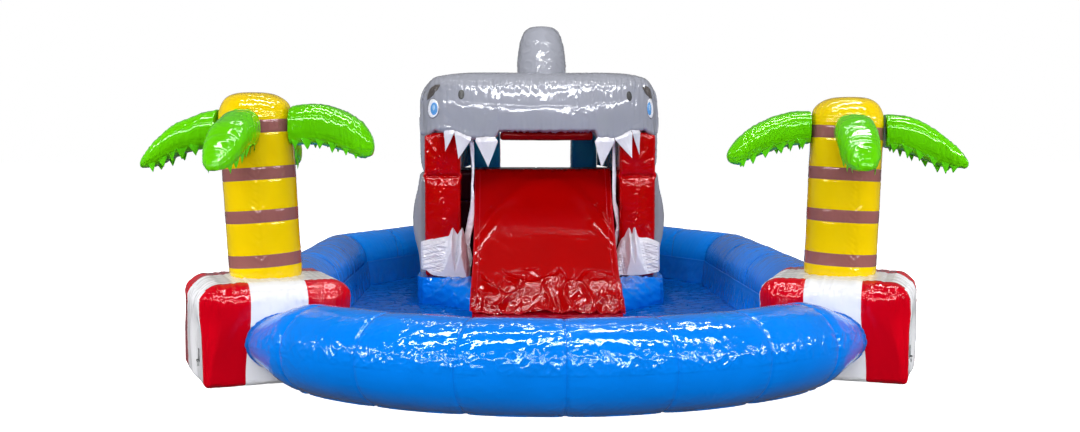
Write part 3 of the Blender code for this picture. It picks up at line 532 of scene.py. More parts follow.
def webbing(name, colour=(0.02, 0.02, 0.022)):
    m, nt, b = nodes_of(name)
    N = nt.nodes.new
    co = N("ShaderNodeTexCoord")
    wa = N("ShaderNodeTexWave")
    wa.wave_type = "BANDS"
    wa.bands_direction = "DIAGONAL"
    wa.inputs["Scale"].default_value = 160.0
    wa.inputs["Distortion"].default_value = 1.2
    link(nt, co.outputs["Object"], wa.inputs["Vector"])
    wb = N("ShaderNodeTexWave")
    wb.bands_direction = "Z"
    wb.inputs["Scale"].default_value = 210.0
    link(nt, co.outputs["Object"], wb.inputs["Vector"])
    mu = N("ShaderNodeMath")
    mu.operation = "MULTIPLY"
    link(nt, wa.outputs["Fac"], mu.inputs[0])
    link(nt, wb.outputs["Fac"], mu.inputs[1])
    ra = N("ShaderNodeValToRGB")
    ra.color_ramp.elements[0].color = (*(np.array(colour) * 0.5), 1)
    ra.color_ramp.elements[1].color = (*(np.array(colour) * 2.4 + 0.01), 1)
    link(nt, mu.outputs["Value"], ra.inputs["Fac"])
    link(nt, ra.outputs["Color"], b.inputs["Base Color"])
    bp = N("ShaderNodeBump")
    bp.inputs["Strength"].default_value = 0.7
    bp.inputs["Distance"].default_value = 0.0008
    link(nt, mu.outputs["Value"], bp.inputs["Height"])
    link(nt, bp.outputs["Normal"], b.inputs["Normal"])
    b.inputs["Roughness"].default_value = 0.75
    return m


def hard(name, colour, rough, metallic=0.0, grain=60.0, depth=0.0002):
    m, nt, b = nodes_of(name)
    N = nt.nodes.new
    co = N("ShaderNodeTexCoord")
    no = N("ShaderNodeTexNoise")
    no.inputs["Scale"].default_value = grain
    no.inputs["Detail"].default_value = 6
    link(nt, co.outputs["Object"], no.inputs["Vector"])
    ra = N("ShaderNodeValToRGB")
    ra.color_ramp.elements[0].color = (*(np.array(colour) * 0.82), 1)
    ra.color_ramp.elements[1].color = (*np.clip(np.array(colour) * 1.06, 0, 1), 1)
    link(nt, no.outputs["Fac"], ra.inputs["Fac"])
    link(nt, ra.outputs["Color"], b.inputs["Base Color"])
    mr = N("ShaderNodeMapRange")
    mr.inputs["To Min"].default_value, mr.inputs["To Max"].default_value = rough * 0.7, rough * 1.4
    link(nt, no.outputs["Fac"], mr.inputs["Value"])
    link(nt, mr.outputs["Result"], b.inputs["Roughness"])
    bp = N("ShaderNodeBump")
    bp.inputs["Strength"].default_value = 0.3
    bp.inputs["Distance"].default_value = depth
    link(nt, no.outputs["Fac"], bp.inputs["Height"])
    link(nt, bp.outputs["Normal"], b.inputs["Normal"])
    b.inputs["Metallic"].default_value = metallic
    return m


C_BLUE = (0.001, 0.200, 0.80)
C_FLOOR = (0.001, 0.105, 0.46)
C_RED = (0.565, 0.0006, 0.009)
C_DEEP = (0.43, 0.0008, 0.0015)
C_WHITE = (0.80, 0.80, 0.83)
C_GREY = (0.30, 0.31, 0.355)
C_YELLOW = (0.78, 0.54, 0.002)
C_BROWN = (0.27, 0.10, 0.092)
C_GREEN = (0.115, 0.57, 0.002)
C_TEAL = (0.030, 0.34, 0.62)

BLUE = vinyl("vinyl_blue_tube", C_BLUE, crinkle=0.12, crinkle_size=22, dirt=0.2)
# a brighter copy of the tube blue for the back tubes: painted light, making up for the little light that reaches them
BLUE_BACK_PAINTED_LIGHT = vinyl("vinyl_blue_back_painted_light", (0.001, 0.265, 1.0), crinkle=0.12, crinkle_size=22, coat=0.15, spec=0.12)
BLUE_WRINKLED = vinyl("vinyl_blue_cushion", C_BLUE, crinkle=0.3, crinkle_size=30)
FLOOR_BLUE = vinyl("vinyl_blue_basin", (0.001, 0.115, 0.52), rough=0.12, crinkle=0.2, crinkle_size=24, coat=0.06, spec=0.10)
RED = vinyl("vinyl_red", C_RED, rough=0.08, crinkle=0.14, crinkle_size=24, coat=0.36, spec=0.15)
RED_DEEP = vinyl("vinyl_red_deep", C_DEEP, crinkle=0.14, crinkle_size=24, coat=0.30)
# the palate's red darkened to paint the shade under the jaw and teeth
RED_PALATE_PAINTED_SHADE = vinyl("vinyl_red_palate_painted_shade", (0.17, 0.0008, 0.0015), crinkle=0.15, crinkle_size=24, coat=0.10, spec=0.2)
RED_SHEET = vinyl("vinyl_red_sheet", (0.355, 0.0005, 0.0006), rough=0.07, crinkle=0.05, crinkle_size=12, coat=0.50, spec=0.08, scuff=0.0)
# dark maroon standing in for the shade inside the house: painted shade on the deck, its skirt and the cabin lining
MAROON_PAINTED_SHADE = vinyl("vinyl_maroon", (0.018, 0.0015, 0.004), rough=0.3, crinkle=0.1, crinkle_size=18, coat=0.05, spec=0.15, scuff=0.0)
WHITE = vinyl("vinyl_white", C_WHITE, rough=0.16, crinkle=0.15, crinkle_size=26, cloud=0.02, coat=0.08, spec=0.06)
# a brighter white for the tooth strips: painted light that makes up for the shade between the pillars
WHITE_STRIP_PAINTED_LIGHT = vinyl("vinyl_white_strip_painted_light", (0.92, 0.91, 0.95), rough=0.3, crinkle=0.4, crinkle_size=30, cloud=0.03, coat=0.12)
# a darker lavender grey copy of the white for the gums and upper teeth: painted shade of the mouth
WHITE_FLAP_PAINTED_SHADE = vinyl("vinyl_white_flap_painted_shade", (0.63, 0.62, 0.67), rough=0.3, crinkle=0.4, crinkle_size=30, cloud=0.03, coat=0.12)
GREY = vinyl("vinyl_grey", C_GREY, rough=0.14, crinkle=0.15, crinkle_size=22, cloud=0.03)
GREY_SIDE = vinyl("vinyl_grey_wall", (0.27, 0.275, 0.30), rough=0.2, crinkle=0.15, crinkle_size=18, cloud=0.03)
YELLOW = vinyl("vinyl_yellow", C_YELLOW, rough=0.12, crinkle=0.15, crinkle_size=24)
BROWN = vinyl("vinyl_brown", C_BROWN, rough=0.18, crinkle=0.3, crinkle_size=30)
GREEN = vinyl("vinyl_green", C_GREEN, rough=0.11, crinkle=0.3, crinkle_size=20, coat=0.36)
GREEN_DARK = vinyl("vinyl_green_fringe", (0.10, 0.60, 0.006), rough=0.3, crinkle=0.4, crinkle_size=40, coat=0.15)
TEAL = vinyl("vinyl_teal", C_TEAL, rough=0.25, crinkle=0.2, crinkle_size=18)
# a lighter copy of the teal for the left column: painted light, as if sun fell on it
TEAL_PAINTED_LIGHT = vinyl("vinyl_teal_painted_light", (0.03, 0.46, 0.80), rough=0.25, crinkle=0.2, crinkle_size=18)
TAPE_BLUE = stitched("seam_blue", (0.0008, 0.15, 0.66), (0.001, 0.18, 0.74))
TAPE_GREY = stitched("seam_grey", (0.27, 0.28, 0.32), (0.34, 0.35, 0.39))
TAPE_RED = stitched("seam_red", (0.36, 0.001, 0.003), (0.44, 0.01, 0.02))
TAPE_WHITE = stitched("seam_white", (0.74, 0.74, 0.78), (0.55, 0.55, 0.6))
TAPE_GREEN = stitched("seam_green", (0.08, 0.5, 0.01), (0.3, 0.7, 0.2))
WEB = webbing("webbing_black_woven")
STEEL = hard("ring_steel_worn", (0.62, 0.62, 0.64), 0.28, 1.0, 180.0)
PLASTIC = hard("drain_plastic_moulded", (0.82, 0.82, 0.82), 0.35, 0.0, 240.0)
INK = hard("print_black", (0.003, 0.003, 0.004), 0.55, 0.0, 90.0)
INK_BROWN = hard("print_brow", (0.085, 0.075, 0.07), 0.35, 0.0, 90.0)
INK_BLUE = hard("print_iris", (0.10, 0.33, 0.70), 0.25, 0.0, 60.0)
INK_PALE = hard("print_iris_pale", (0.36, 0.56, 0.80), 0.25, 0.0, 60.0)
INK_WHITE = hard("print_eye_white", (0.86, 0.87, 0.92), 0.25, 0.0, 60.0)
INK_LINE = hard("print_eye_line", (0.16, 0.16, 0.19), 0.3, 0.0, 60.0)


def tape(shape, path, normals, width=0.022, height=0.0016, mat=1, closed=False, run=None):
    """A raised strip along a line on a surface, as part of a shape. Its finish carries the stitches."""
    path, normals = np.asarray(path), unit(np.asarray(normals))
    if closed:
        t = np.roll(path, -1, 0) - np.roll(path, 1, 0)
    else:
        t = np.gradient(path, axis=0)
    side = unit(np.cross(normals, unit(t)))
    step = np.linalg.norm(np.diff(path, axis=0, append=path[:1] if closed else path[-1:]), axis=1)
    s = np.concatenate([[0], np.cumsum(step)[:-1]])
    cols = []
    for a, h in ((-1, -0.002), (-0.95, 0.6), (-0.6, 1.0), (0, 0.8), (0.6, 1.0), (0.95, 0.6), (1, -0.002)):
        cols.append(path + side * (a * width / 2) + normals * (h * height))
    cols.append(path - normals * 0.002)
    P = np.stack(cols, 1)
    along = np.repeat(s[:, None], P.shape[1], 1)
    shape.grid(P, close_u=closed, close_v=True, mat=mat, along=along + 0.0001, cap0=not closed, cap1=not closed)


def shell(shape, P, thick, mat=0, rim_mat=None, along=None):
    """A closed thin sheet from a grid of points."""
    nu, nv = P.shape[:2]
    Nn = grid_normals(P)
    a = shape.verts(P + Nn * thick / 2, along)
    b = shape.verts(P - Nn * thick / 2, along)
    shape.faces(grid_faces(nu, nv, base=a), mat)
    shape.faces(grid_faces(nu, nv, base=b, flip=True), mat)
    ring = ([(i, 0) for i in range(nu)] + [(nu - 1, j) for j in range(1, nv)]
            + [(i, nv - 1) for i in range(nu - 2, -1, -1)] + [(0, j) for j in range(nv - 2, 0, -1)])
    idx = np.array([i * nv + j for i, j in ring])
    nx = np.roll(idx, -1)
    shape.faces(np.stack([a + nx, a + idx, b + idx, b + nx], 1), mat if rim_mat is None else rim_mat)


def catmull(pts, n, closed=False):
    """Points evenly spaced by length along a smooth line through pts."""
    pts = np.asarray(pts, float)
    if closed:
        ext = np.concatenate([pts[-1:], pts, pts[:2]])
    else:
        ext = np.concatenate([2 * pts[:1] - pts[1:2], pts, 2 * pts[-1:] - pts[-2:-1]])
    out = []
    t = np.linspace(0, 1, 24, endpoint=False)[:, None]
    for i in range(len(ext) - 3):
        p0, p1, p2, p3 = ext[i:i + 4]
        out.append(0.5 * ((2 * p1) + (-p0 + p2) * t + (2 * p0 - 5 * p1 + 4 * p2 - p3) * t ** 2 + (-p0 + 3 * p1 - 3 * p2 + p3) * t ** 3))
    L = np.concatenate(out + ([] if closed else [pts[-1:]]))
    if closed:
        L = np.concatenate([L, L[:1]])
    d = np.concatenate([[0], np.cumsum(np.linalg.norm(np.diff(L, axis=0), axis=1))])
    s = np.linspace(0, d[-1], n + 1)[:-1] if closed else np.linspace(0, d[-1], n)
    return np.stack([np.interp(s, d, L[:, k]) for k in range(L.shape[1])], 1)


def poly(pts, cell, closed=True):
    """A polygon's outline resampled at about a cell, keeping its corners."""
    pts = [np.asarray(p, float) for p in pts]
    out = []
    loop = list(zip(pts, pts[1:] + pts[:1])) if closed else list(zip(pts, pts[1:]))
    for a, b in loop:
        n = max(1, int(round(np.linalg.norm(b - a) / (cell * FINE))))
        for k in range(n):
            out.append(a + (b - a) * k / n)
    if not closed:
        out.append(pts[-1])
    return np.array(out)


# ================================================================ pool ring
TUBE_R, AXIS_Z = 0.310, 0.304
ARC_R, ARC_Y = 2.35, -1.73
BA = math.radians(21.0)
HALF = 0.54


def block_frame(side):
    u = np.array([side * math.cos(BA), -math.sin(BA), 0.0])
    t = np.array([-side * math.sin(BA), -math.cos(BA), 0.0])
    return np.array([0.0, ARC_Y, 0.0]) + ARC_R * u, u, t


def tube_wrinkles(s, phi, seed, seams, inner_more=0.5, band=0.0):
    """Height of the skin over the plain tube. s runs along it in metres; phi is 0 outwards, a quarter turn up."""
    q = phi * TUBE_R
    h = 0.0035 * noise(s / 0.42, q / 0.30, seed) + 0.0012 * noise(s / 0.13, q / 0.11, seed + 3)
    inner = 0.5 - 0.5 * np.cos(phi)                   # 0 outside, 1 inside the ring
    for k, (s0, both) in enumerate(seams):
        d = np.abs(s - s0)
        h = h - 0.0075 * np.exp(-(d / 0.012) ** 2) - 0.003 * np.exp(-(d / 0.05) ** 2)
        amp = (0.0022 + 0.0030 * inner_more * inner) * np.exp(-d / 0.075)
        h = h + amp * fold(noise(q / 0.038 + 0.6 * s, d / 0.22, seed + 5 + 3 * k), 0.30)
        h = h + 0.0014 * np.exp(-d / 0.16) * noise(q / 0.06, d / 0.3, seed + 40 + k)
    patch = smooth(-0.05, 0.30, noise(s / 0.5, q / 0.4, seed + 9))
    a, b = s * 0.55 + q * 0.84, -s * 0.84 + q * 0.55
    h = h + 0.0016 * (0.25 + patch) * fold(noise(a / 0.10, b / 0.045, seed + 11), 0.16)
    h = h + 0.0011 * patch * fold(noise(b / 0.12, a / 0.05, seed + 13), 0.16)
    if band:
        m = np.exp(-((phi - 0.26) / 0.34) ** 2)
        a, b = s * 0.80 + q * 0.60, -s * 0.60 + q * 0.80
        h = h + band * m * (0.0044 * fold(noise(a / 0.055, b / 0.13, seed + 15), 0.26) + 0.0028 * fold(noise(b / 0.05, a / 0.11, seed + 17), 0.2)
                            + 0.0042 * noise(s / 0.035, q / 0.06, seed + 19))
        m2 = np.exp(-((phi - 1.12) / 0.22) ** 2)
        h = h + band * m2 * 0.0020 * fold(noise(s / 0.07, q / 0.05, seed + 21), 0.22)
    return h


def rest_on_ground(P):
    """The weight flattens the underside."""
    z = P[..., 2]
    P[..., 2] = np.where(z < 0.012, 0.0004 + 0.25 * np.maximum(z + 0.006, 0) ** 1.0 * 0.3, z)
    return P


def front_tube():
    n_phi = int(300 / FINE)
    phi = np.linspace(0, 2 * math.pi, n_phi, endpoint=False)
    full = math.radians(69.0)
    end_at = lambda rho: full - np.arcsin(0.5405 / rho)
    end_mid = float(end_at(ARC_R))
    seams = [math.radians(a) for a in (-45, -30, -15, 0, 15, 30, 45)]
    th = ticks(-end_mid, end_mid, 0.0032, seams)
    TH, PH = np.meshgrid(th, phi, indexing="ij")
    s = TH * ARC_R
    seam_s = [(a * ARC_R, True) for a in seams]
    h = tube_wrinkles(s, PH, 1.7, seam_s, band=1.0)
    frac = (np.degrees(TH) / 15.0) % 1.0
    h = h + 0.005 * np.sin(math.pi * frac) ** 0.8
    d_end = (end_mid - np.abs(TH)) * ARC_R
    h = h + 0.0035 * np.exp(-d_end / 0.09) * fold(noise(PH * TUBE_R / 0.045, d_end / 0.3, 77.0 + np.sign(TH)), 0.3)
    h = h - (0.008 + 0.095 * np.abs(np.sin(PH)) ** 1.4) * smooth(0.42, 0.0, d_end) ** 1.2 - 0.005 * np.exp(-((d_end - 0.036) / 0.008) ** 2) - 0.005 * np.exp(-((d_end - 0.072) / 0.008) ** 2)
    r = TUBE_R + h
    rho0 = ARC_R + TUBE_R * np.cos(PH)
    T2 = TH * end_at(rho0) / end_mid
    rho = ARC_R + r * np.cos(PH)
    P = np.stack([rho * np.sin(T2), ARC_Y - rho * np.cos(T2), AXIS_Z + r * np.sin(PH)], -1)
    P = rest_on_ground(P)
    S = Shape()
    S.grid(P, close_v=True, cap0=True, cap1=True)
    Nn = grid_normals(P, close_v=True)
    for a in seams:
        i = int(np.argmin(np.abs(th - a)))
        tape(S, P[i], Nn[i], closed=True, width=0.020, height=0.0012)
    for i in (np.argmin(np.abs((end_mid - th) * ARC_R - 0.018)), np.argmin(np.abs((th + end_mid) * ARC_R - 0.018))):
        tape(S, P[int(i)], Nn[int(i)], closed=True, width=0.030, height=0.0022)
    return piece("front_tube_skin", S, [BLUE, TAPE_BLUE], replaces=["front_tube"], sharp=60)


def straight_tube(name, A, B, n_seams, seed, replaces, ribs=0.0, rib_from=None):
    """A tube whose end rings A and B are given point by point."""
    length = np.linalg.norm(A.mean(0) - B.mean(0))
    cuts = [k / n_seams for k in range(1, n_seams)]
    t = ticks(0.0, 1.0, 0.011 / length, cuts)
    P0 = A[None] * (1 - t[:, None, None]) + B[None] * t[:, None, None]
    ax = unit(B.mean(0) - A.mean(0))
    side = unit(np.cross(ax, [0, 0, 1.0]))
    phi = np.linspace(0, 2 * math.pi, A.shape[0], endpoint=False)
    s = ((P0 - A.mean(0)) @ ax)
    PH = np.broadcast_to(phi[None], s.shape)
    # phi of the generator: 0 outwards
    h = tube_wrinkles(s, PH, seed, [(c * length, True) for c in cuts], inner_more=1.0)
    for d in (t[:, None] * length, (1 - t[:, None]) * length):
        h = h - 0.007 * np.exp(-(d / 0.022) ** 2) + 0.0045 * np.exp(-d / 0.10) * fold(noise(PH * TUBE_R / 0.045, d / 0.25, seed + 31), 0.30)
    if ribs:
        w = smooth(*rib_from, t[:, None] * length) if rib_from else 1.0
        top = np.clip(np.sin(PH), 0, 1) ** 0.6 + 0.35 * np.clip(-np.cos(PH), 0, 1)
        h = h + ribs * w * top * (0.0034 * fold(noise(s / 0.072 + 0.5 * np.sin(PH * 1.3), PH * 0.55, seed + 33), 0.34) + 0.0016 * noise(s / 0.05, PH * 0.8, seed + 35))
    frac = (t[:, None] * n_seams) % 1.0
    h = h + 0.005 * np.sin(math.pi * frac) ** 0.8
    C = A.mean(0)[None] * (1 - t[:, None]) + B.mean(0)[None] * t[:, None]
    rad = unit(P0 - C[:, None])
    flat = rad - (rad @ ax)[..., None] * ax
    P = P0 + unit(flat) * h[..., None]
    P = rest_on_ground(P)
    S = Shape()
    outward = np.sign((np.cross(P[1] - P[0], np.roll(P[0], -1, 0) - P[0]) * flat[0]).sum())
    S.grid(P, close_v=True, cap0=True, cap1=True, flip=outward < 0)
    Nn = grid_normals(P, close_v=True) * (1 if outward > 0 else -1)
    for c in cuts:
        i = int(np.argmin(np.abs(t - c)))
        tape(S, P[i], Nn[i], closed=True, width=0.020, height=0.0012)
    for i in (int(np.argmin(np.abs(t * length - 0.016))), int(np.argmin(np.abs((1 - t) * length - 0.016)))):
        tape(S, P[i], Nn[i], closed=True, width=0.026, height=0.0020)
    # the back tubes take the brighter copy of the blue, painted light
    return piece(name, S, [BLUE_BACK_PAINTED_LIGHT if name.startswith("back") else BLUE, TAPE_BLUE], replaces=replaces, sharp=60)


def side_and_back(side, word):
    c, u, t = block_frame(side)
    n_phi = int(180 / FINE)
    phi = np.linspace(0, 2 * math.pi, n_phi, endpoint=False)
    dr, z = TUBE_R * np.cos(phi), AXIS_Z + TUBE_R * np.sin(phi)
    back = c - (HALF + 0.0005) * t
    nrm = -t
    corner = np.array([side * 2.36, 2.79])
    end = np.array([side * 1.65, 4.13])
    d2 = (end - corner) / np.linalg.norm(end - corner)
    mitre = np.array([0, 1.0]) + d2
    mitre /= np.linalg.norm(mitre)
    side2 = np.array([d2[1], -d2[0]]) * side
    px = side * (2.36 + dr)
    start = np.stack([px, back[1] - nrm[0] * (px - back[0]) / nrm[1], z], 1)
    seam1 = np.stack([px, corner[1] - mitre[0] * (px - corner[0]) / mitre[1] - 0.0005, z], 1)
    q = corner[None] + dr[:, None] * side2[None]
    k = -((q - corner) @ mitre) / (mitre @ d2)
    m = q + (k + 0.0005)[:, None] * d2
    seam2 = np.stack([m[:, 0], m[:, 1], z], 1)
    k = np.minimum((side * 1.404 - q[:, 0]) / d2[0], (4.59 - q[:, 1]) / d2[1])
    m = q + k[:, None] * d2
    last = np.stack([m[:, 0], m[:, 1], z], 1)
    straight_tube("side_tube_%s_skin" % word, start, seam1, 4, 3.1 + 7 * side, ["side_tube_" + word], ribs=1.8, rib_from=(1.0, 2.4))
    straight_tube("back_tube_%s_skin" % word, seam2, last, 2, 5.3 + 7 * side, ["back_tube_" + word], ribs=1.4)


def inner_path(inset, n_arc=60):
    """The inside of the ring at the waist, pulled in by inset: left front to right, then the right side and back round to the left."""
    span = math.pi - 2 * BA
    c, u, t = block_frame(1)
    rho = ARC_R - TUBE_R - inset
    a0 = math.asin((HALF + inset) / rho)
    arc = []
    for i in range(n_arc):
        a = a0 + i / (n_arc - 1) * (span - 2 * a0)
        p = np.array([0, ARC_Y, 0]) + rho * (math.cos(a) * u + math.sin(a) * t)
        arc.append((p[0], p[1]))
    right = []
    h = HALF + inset
    xin = 2.36 - TUBE_R - inset
    right.append(tuple((c - h * u + h * t)[:2]))
    right.append(tuple((c - h * u - h * t)[:2]))
    back = c - h * t
    right.append((xin, back[1] + t[0] * (xin - back[0]) / -t[1]))
    corner = np.array([2.36, 2.79])
    end = np.array([1.65, 4.13])
    d2 = (end - corner) / np.linalg.norm(end - corner)
    side2 = np.array([d2[1], -d2[0]])
    mitre = np.array([0, 1.0]) + d2
    mitre /= np.linalg.norm(mitre)
    right.append((xin, corner[1] - mitre[0] * (xin - corner[0]) / mitre[1]))
    q = corner - (TUBE_R + inset) * side2
    k = (1.406 - q[0]) / d2[0]
    right.append(tuple(q + k * d2))
    left = [(-x, y) for x, y in right]
    return arc[::-1], right, left[::-1]


def pool_sheets():
    arc, right, left = inner_path(0.013)
    rear = [(1.402, right[-1][1] + 0.02), (1.402, 4.60), (-1.402, 4.60), (-1.402, right[-1][1] + 0.02)]
    outline = arc + right + rear + left
    B = poly(outline, 0.026)
    c = np.array([0.0, -0.2])
    m = int(120 / FINE)
    rho = np.linspace(0, 1, m) ** 0.9
    XY = c + (B - c)[:, None, :] * rho[None, 1:, None]
    x, y = XY[..., 0], XY[..., 1]
    # folds of a loose sheet, flat where the house stands on it and at its welded edge
    free = smooth(0.0, 0.12, np.maximum(np.abs(x) - 1.40, 1.0 - y)) * 1.0
    under = smooth(0.02, 0.25, np.maximum(np.abs(x + 0.0) - 0.76, -0.10 - y))
    amp = np.minimum(free, under)
    a, b = x * 0.8 + y * 0.6, -x * 0.6 + y * 0.8
    hz = (0.010 * fold(noise(a / 0.24, b / 0.13, 3.3), 0.30) + 0.007 * fold(noise(b / 0.26, a / 0.10, 8.1), 0.22)
          + 0.005 * fold(noise(x / 0.09, y / 0.16, 5.5), 0.3) + 0.006 * np.abs(noise(x / 0.5, y / 0.4, 1.1)))
    z = 0.0085 + amp * hz
    top = np.stack([x, y, z], -1)
    S = Shape()
    base = S.verts(top)
    nb, nr = top.shape[:2]
    S.faces(grid_faces(nb, nr, close_u=True, base=base), 0)
    cv = S.verts([[c[0], c[1], 0.0085]])
    j = np.arange(nb)
    k = (j + 1) % nb
    S.faces(np.stack([np.full(nb, cv), base + j * nr, base + k * nr], 1), 0)
    low = S.verts(np.concatenate([B, np.zeros((nb, 1))], 1))
    cl = S.verts([[c[0], c[1], 0.0]])
    rim = base + j * nr + nr - 1
    rim2 = base + k * nr + nr - 1
    S.faces(np.stack([rim, low + j, low + k, rim2], 1), 0)
    S.faces(np.stack([np.full(nb, cl), low + k, low + j], 1), 0)
    fl = piece("pool_floor_sheet", S, [FLOOR_BLUE], replaces=["pool_floor"])
    # upright liner, open at the house
    arc, right, left = inner_path(0.019)
    line = left + arc + right
    L = poly(line, 0.016, closed=False)
    tan = np.gradient(L, axis=0)
    tan /= np.linalg.norm(tan, axis=1)[:, None]
    nin = np.stack([-tan[:, 1], tan[:, 0]], 1)          # towards the pool
    s = np.concatenate([[0], np.cumsum(np.linalg.norm(np.diff(L, axis=0), axis=1))])
    v = np.linspace(0, 1, 22)
    SS, VV = np.meshgrid(s, v, indexing="ij")
    drop = 1 - VV
    wave = 0.016 * noise(SS / 0.16, VV * 1.2, 4.4) + 0.010 * fold(noise(SS / 0.11 + VV * 0.8, VV * 1.6, 9.9), 0.3) + 0.006 * fold(noise(SS / 0.05, VV * 3, 2.2), 0.25)
    inw = 0.004 + drop * (0.022 + wave) * smooth(0, 0.25, drop) + 0.006 * drop ** 2
    inw = np.clip(inw, 0.002, 0.07)
    P = np.empty(SS.shape + (3,))
    P[..., :2] = L[:, None, :] + nin[:, None, :] * inw[..., None]
    P[..., 2] = 0.016 + VV * 0.286 + 0.003 * noise(SS / 0.2, 0, 6.6)
    S = Shape()
    shell(S, P[:, ::-1], 0.002, 0)
    ln = piece("pool_liner_sheet", S, [BLUE_WRINKLED], replaces=["pool_liner"])


def corner_block(side, word):
    c, u, t = block_frame(side)
    r, hz, w = 0.135, 0.36, 0.205
    rear, front, crown = -0.17, HALF - 0.125, HALF - 0.155
    Q, Nn, F, S_, L = block((HALF, HALF, hz), r, 0.0125, ((-w, w), (rear, ), ()))
    # tighter round the foot than round the top
    rv = 0.048 + (r - 0.048) * smooth(-0.22, 0.14, L[:, 2:3])
    H3 = np.array([HALF, HALF, hz])
    Q = (Q - Nn * r) * ((H3 - rv) / (H3 - r)) + Nn * rv
    x, y, z = L.T                       # x along u, y along t
    fx, fy = np.clip(1 - (x / HALF) ** 2, 0, 1), np.clip(1 - (y / HALF) ** 2, 0, 1)
    fz = np.clip(1 - (z / hz) ** 2, 0, 1)
    nx, ny, nz = Nn.T
    tube_zone = smooth(0.29, 0.40, np.hypot(x, z + 0.056))
    bulge = (0.030 * nx ** 2 * fy * fz + 0.030 * ny ** 2 * fx * fz * tube_zone + 0.016 * np.clip(nz, 0, 1) ** 2 * fx * fy)
    bulge = np.where((np.clip(-nx, 0, 1) + np.clip(-ny, 0, 1)) > 0.3, bulge * 0.2, bulge)
    pinch = -0.016 * (np.abs(nx * ny) * 2) ** 1.0 * fz
    h = bulge + pinch
    # coordinate along the face, across which the stripe edges run
    on_x, on_y = np.abs(nx) > np.abs(ny), np.abs(ny) >= np.abs(nx)
    across = np.where(np.abs(nz) > 0.8, np.minimum(np.abs(np.abs(x) - w), np.minimum(np.abs(y - rear), np.abs(y - crown))), np.where(on_x, np.minimum(np.abs(y - rear), np.abs(y - front)), np.abs(np.abs(x) - w)))
    top_cross = (np.abs(nz) > 0.8) & ((np.abs(x) < w - 0.02) & (y > rear + 0.02) & (y < crown - 0.02))
    across = np.where(top_cross, 0.5, across)
    h = h - 0.004 * np.exp(-(across / 0.010) ** 2)
    run = np.where(on_x, y, x)
    seed = 12.0 + 5 * side
    edge_top = np.exp(-((z - (hz - r * 0.5)) / 0.11) ** 2)
    edge_low = np.exp(-((z + (hz - r * 0.5)) / 0.10) ** 2)
    h = h + edge_top * (0.0085 * fold(noise(run / 0.045, z / 0.22, seed), 0.32) + 0.0040 * fold(noise(run / 0.022, z / 0.1, seed + 1), 0.3))
    h = h + edge_low * 0.0060 * fold(noise(run / 0.05, z / 0.2, seed + 2), 0.32)
    h = h + 0.003 * np.exp(-across / 0.05) * fold(noise(z / 0.04, run / 0.15, seed + 4), 0.28)
    ring = np.hypot(x, y)
    h = h + np.where(nz > 0.6, 0.004 * np.exp(-np.abs(ring - 0.28) / 0.07) * fold(noise(np.arctan2(y, x) * 5.5, ring / 0.3, seed + 5), 0.3), 0)
    h = h + 0.005 * noise(x / 0.33, y / 0.33, z / 0.3 + seed) + 0.0014 * fold(noise(x / 0.12, y / 0.12, z / 0.10 + seed), 0.14)
    # flat where the anchor ring swings up against the outer side
    h = np.where(nx > 0.5, h * smooth(0.16, 0.30, np.hypot(y - 0.30, z + 0.12)), h)
    P = Q + Nn * h[:, None]
    P[:, 2] += hz
    P[:, 2] = np.maximum(P[:, 2], 0.0006)
    fc = L[F].mean(1)
    xs, side_band = np.abs(fc[:, 0]), (fc[:, 1] > rear) & (fc[:, 1] < front)
    white = np.where(S_ < 2, side_band, np.where(S_ < 4, xs < w, (xs < w) | (side_band & (fc[:, 1] < crown))))
    W = np.outer(P[:, 0], u) + np.outer(P[:, 1], t) + c
    W[:, 2] = P[:, 2]
    S = Shape()
    b = S.verts(W)
    hand = np.cross(u, t)[2]              # u x t points down on one side
    FF = F if hand > 0 else F[:, ::-1]
    S.faces(FF + b, white.astype(int))
    ob = piece("corner_block_%s_skin" % word, S, [RED, WHITE, TAPE_WHITE], replaces=["corner_block_" + word])
    return ob


# ================================================================ palms
LEAF_AT = (0.2745, 0.38, 0.50, 0.62, 0.73, 0.83, 0.905)
LEAF_HALF = (0.128, 0.140, 0.143, 0.138, 0.122, 0.088, 0.030)
LEAF_LINES = {
    "outer_left": ((1.985, 1.969, 1.926, 1.876, 1.790, 1.690, 1.600), (1.700, 1.695, 1.675, 1.635, 1.585, 1.555, 1.550)),
    "inner_left": ((2.005, 2.024, 2.026, 1.995, 1.950, 1.875, 1.760), (1.720, 1.725, 1.720, 1.695, 1.660, 1.625, 1.660)),
    "inner_right": ((1.975, 1.977, 1.954, 1.910, 1.845, 1.762, 1.670), (1.735, 1.720, 1.695, 1.655, 1.610, 1.572, 1.600)),
    "outer_right": ((1.950, 1.946, 1.920, 1.856, 1.775, 1.688, 1.600), (1.700, 1.685, 1.640, 1.590, 1.555, 1.545, 1.550)),
}
BANDS = ((1.853, 1.509, 1.193, 0.861), (1.813, 1.501, 1.185, 0.855))


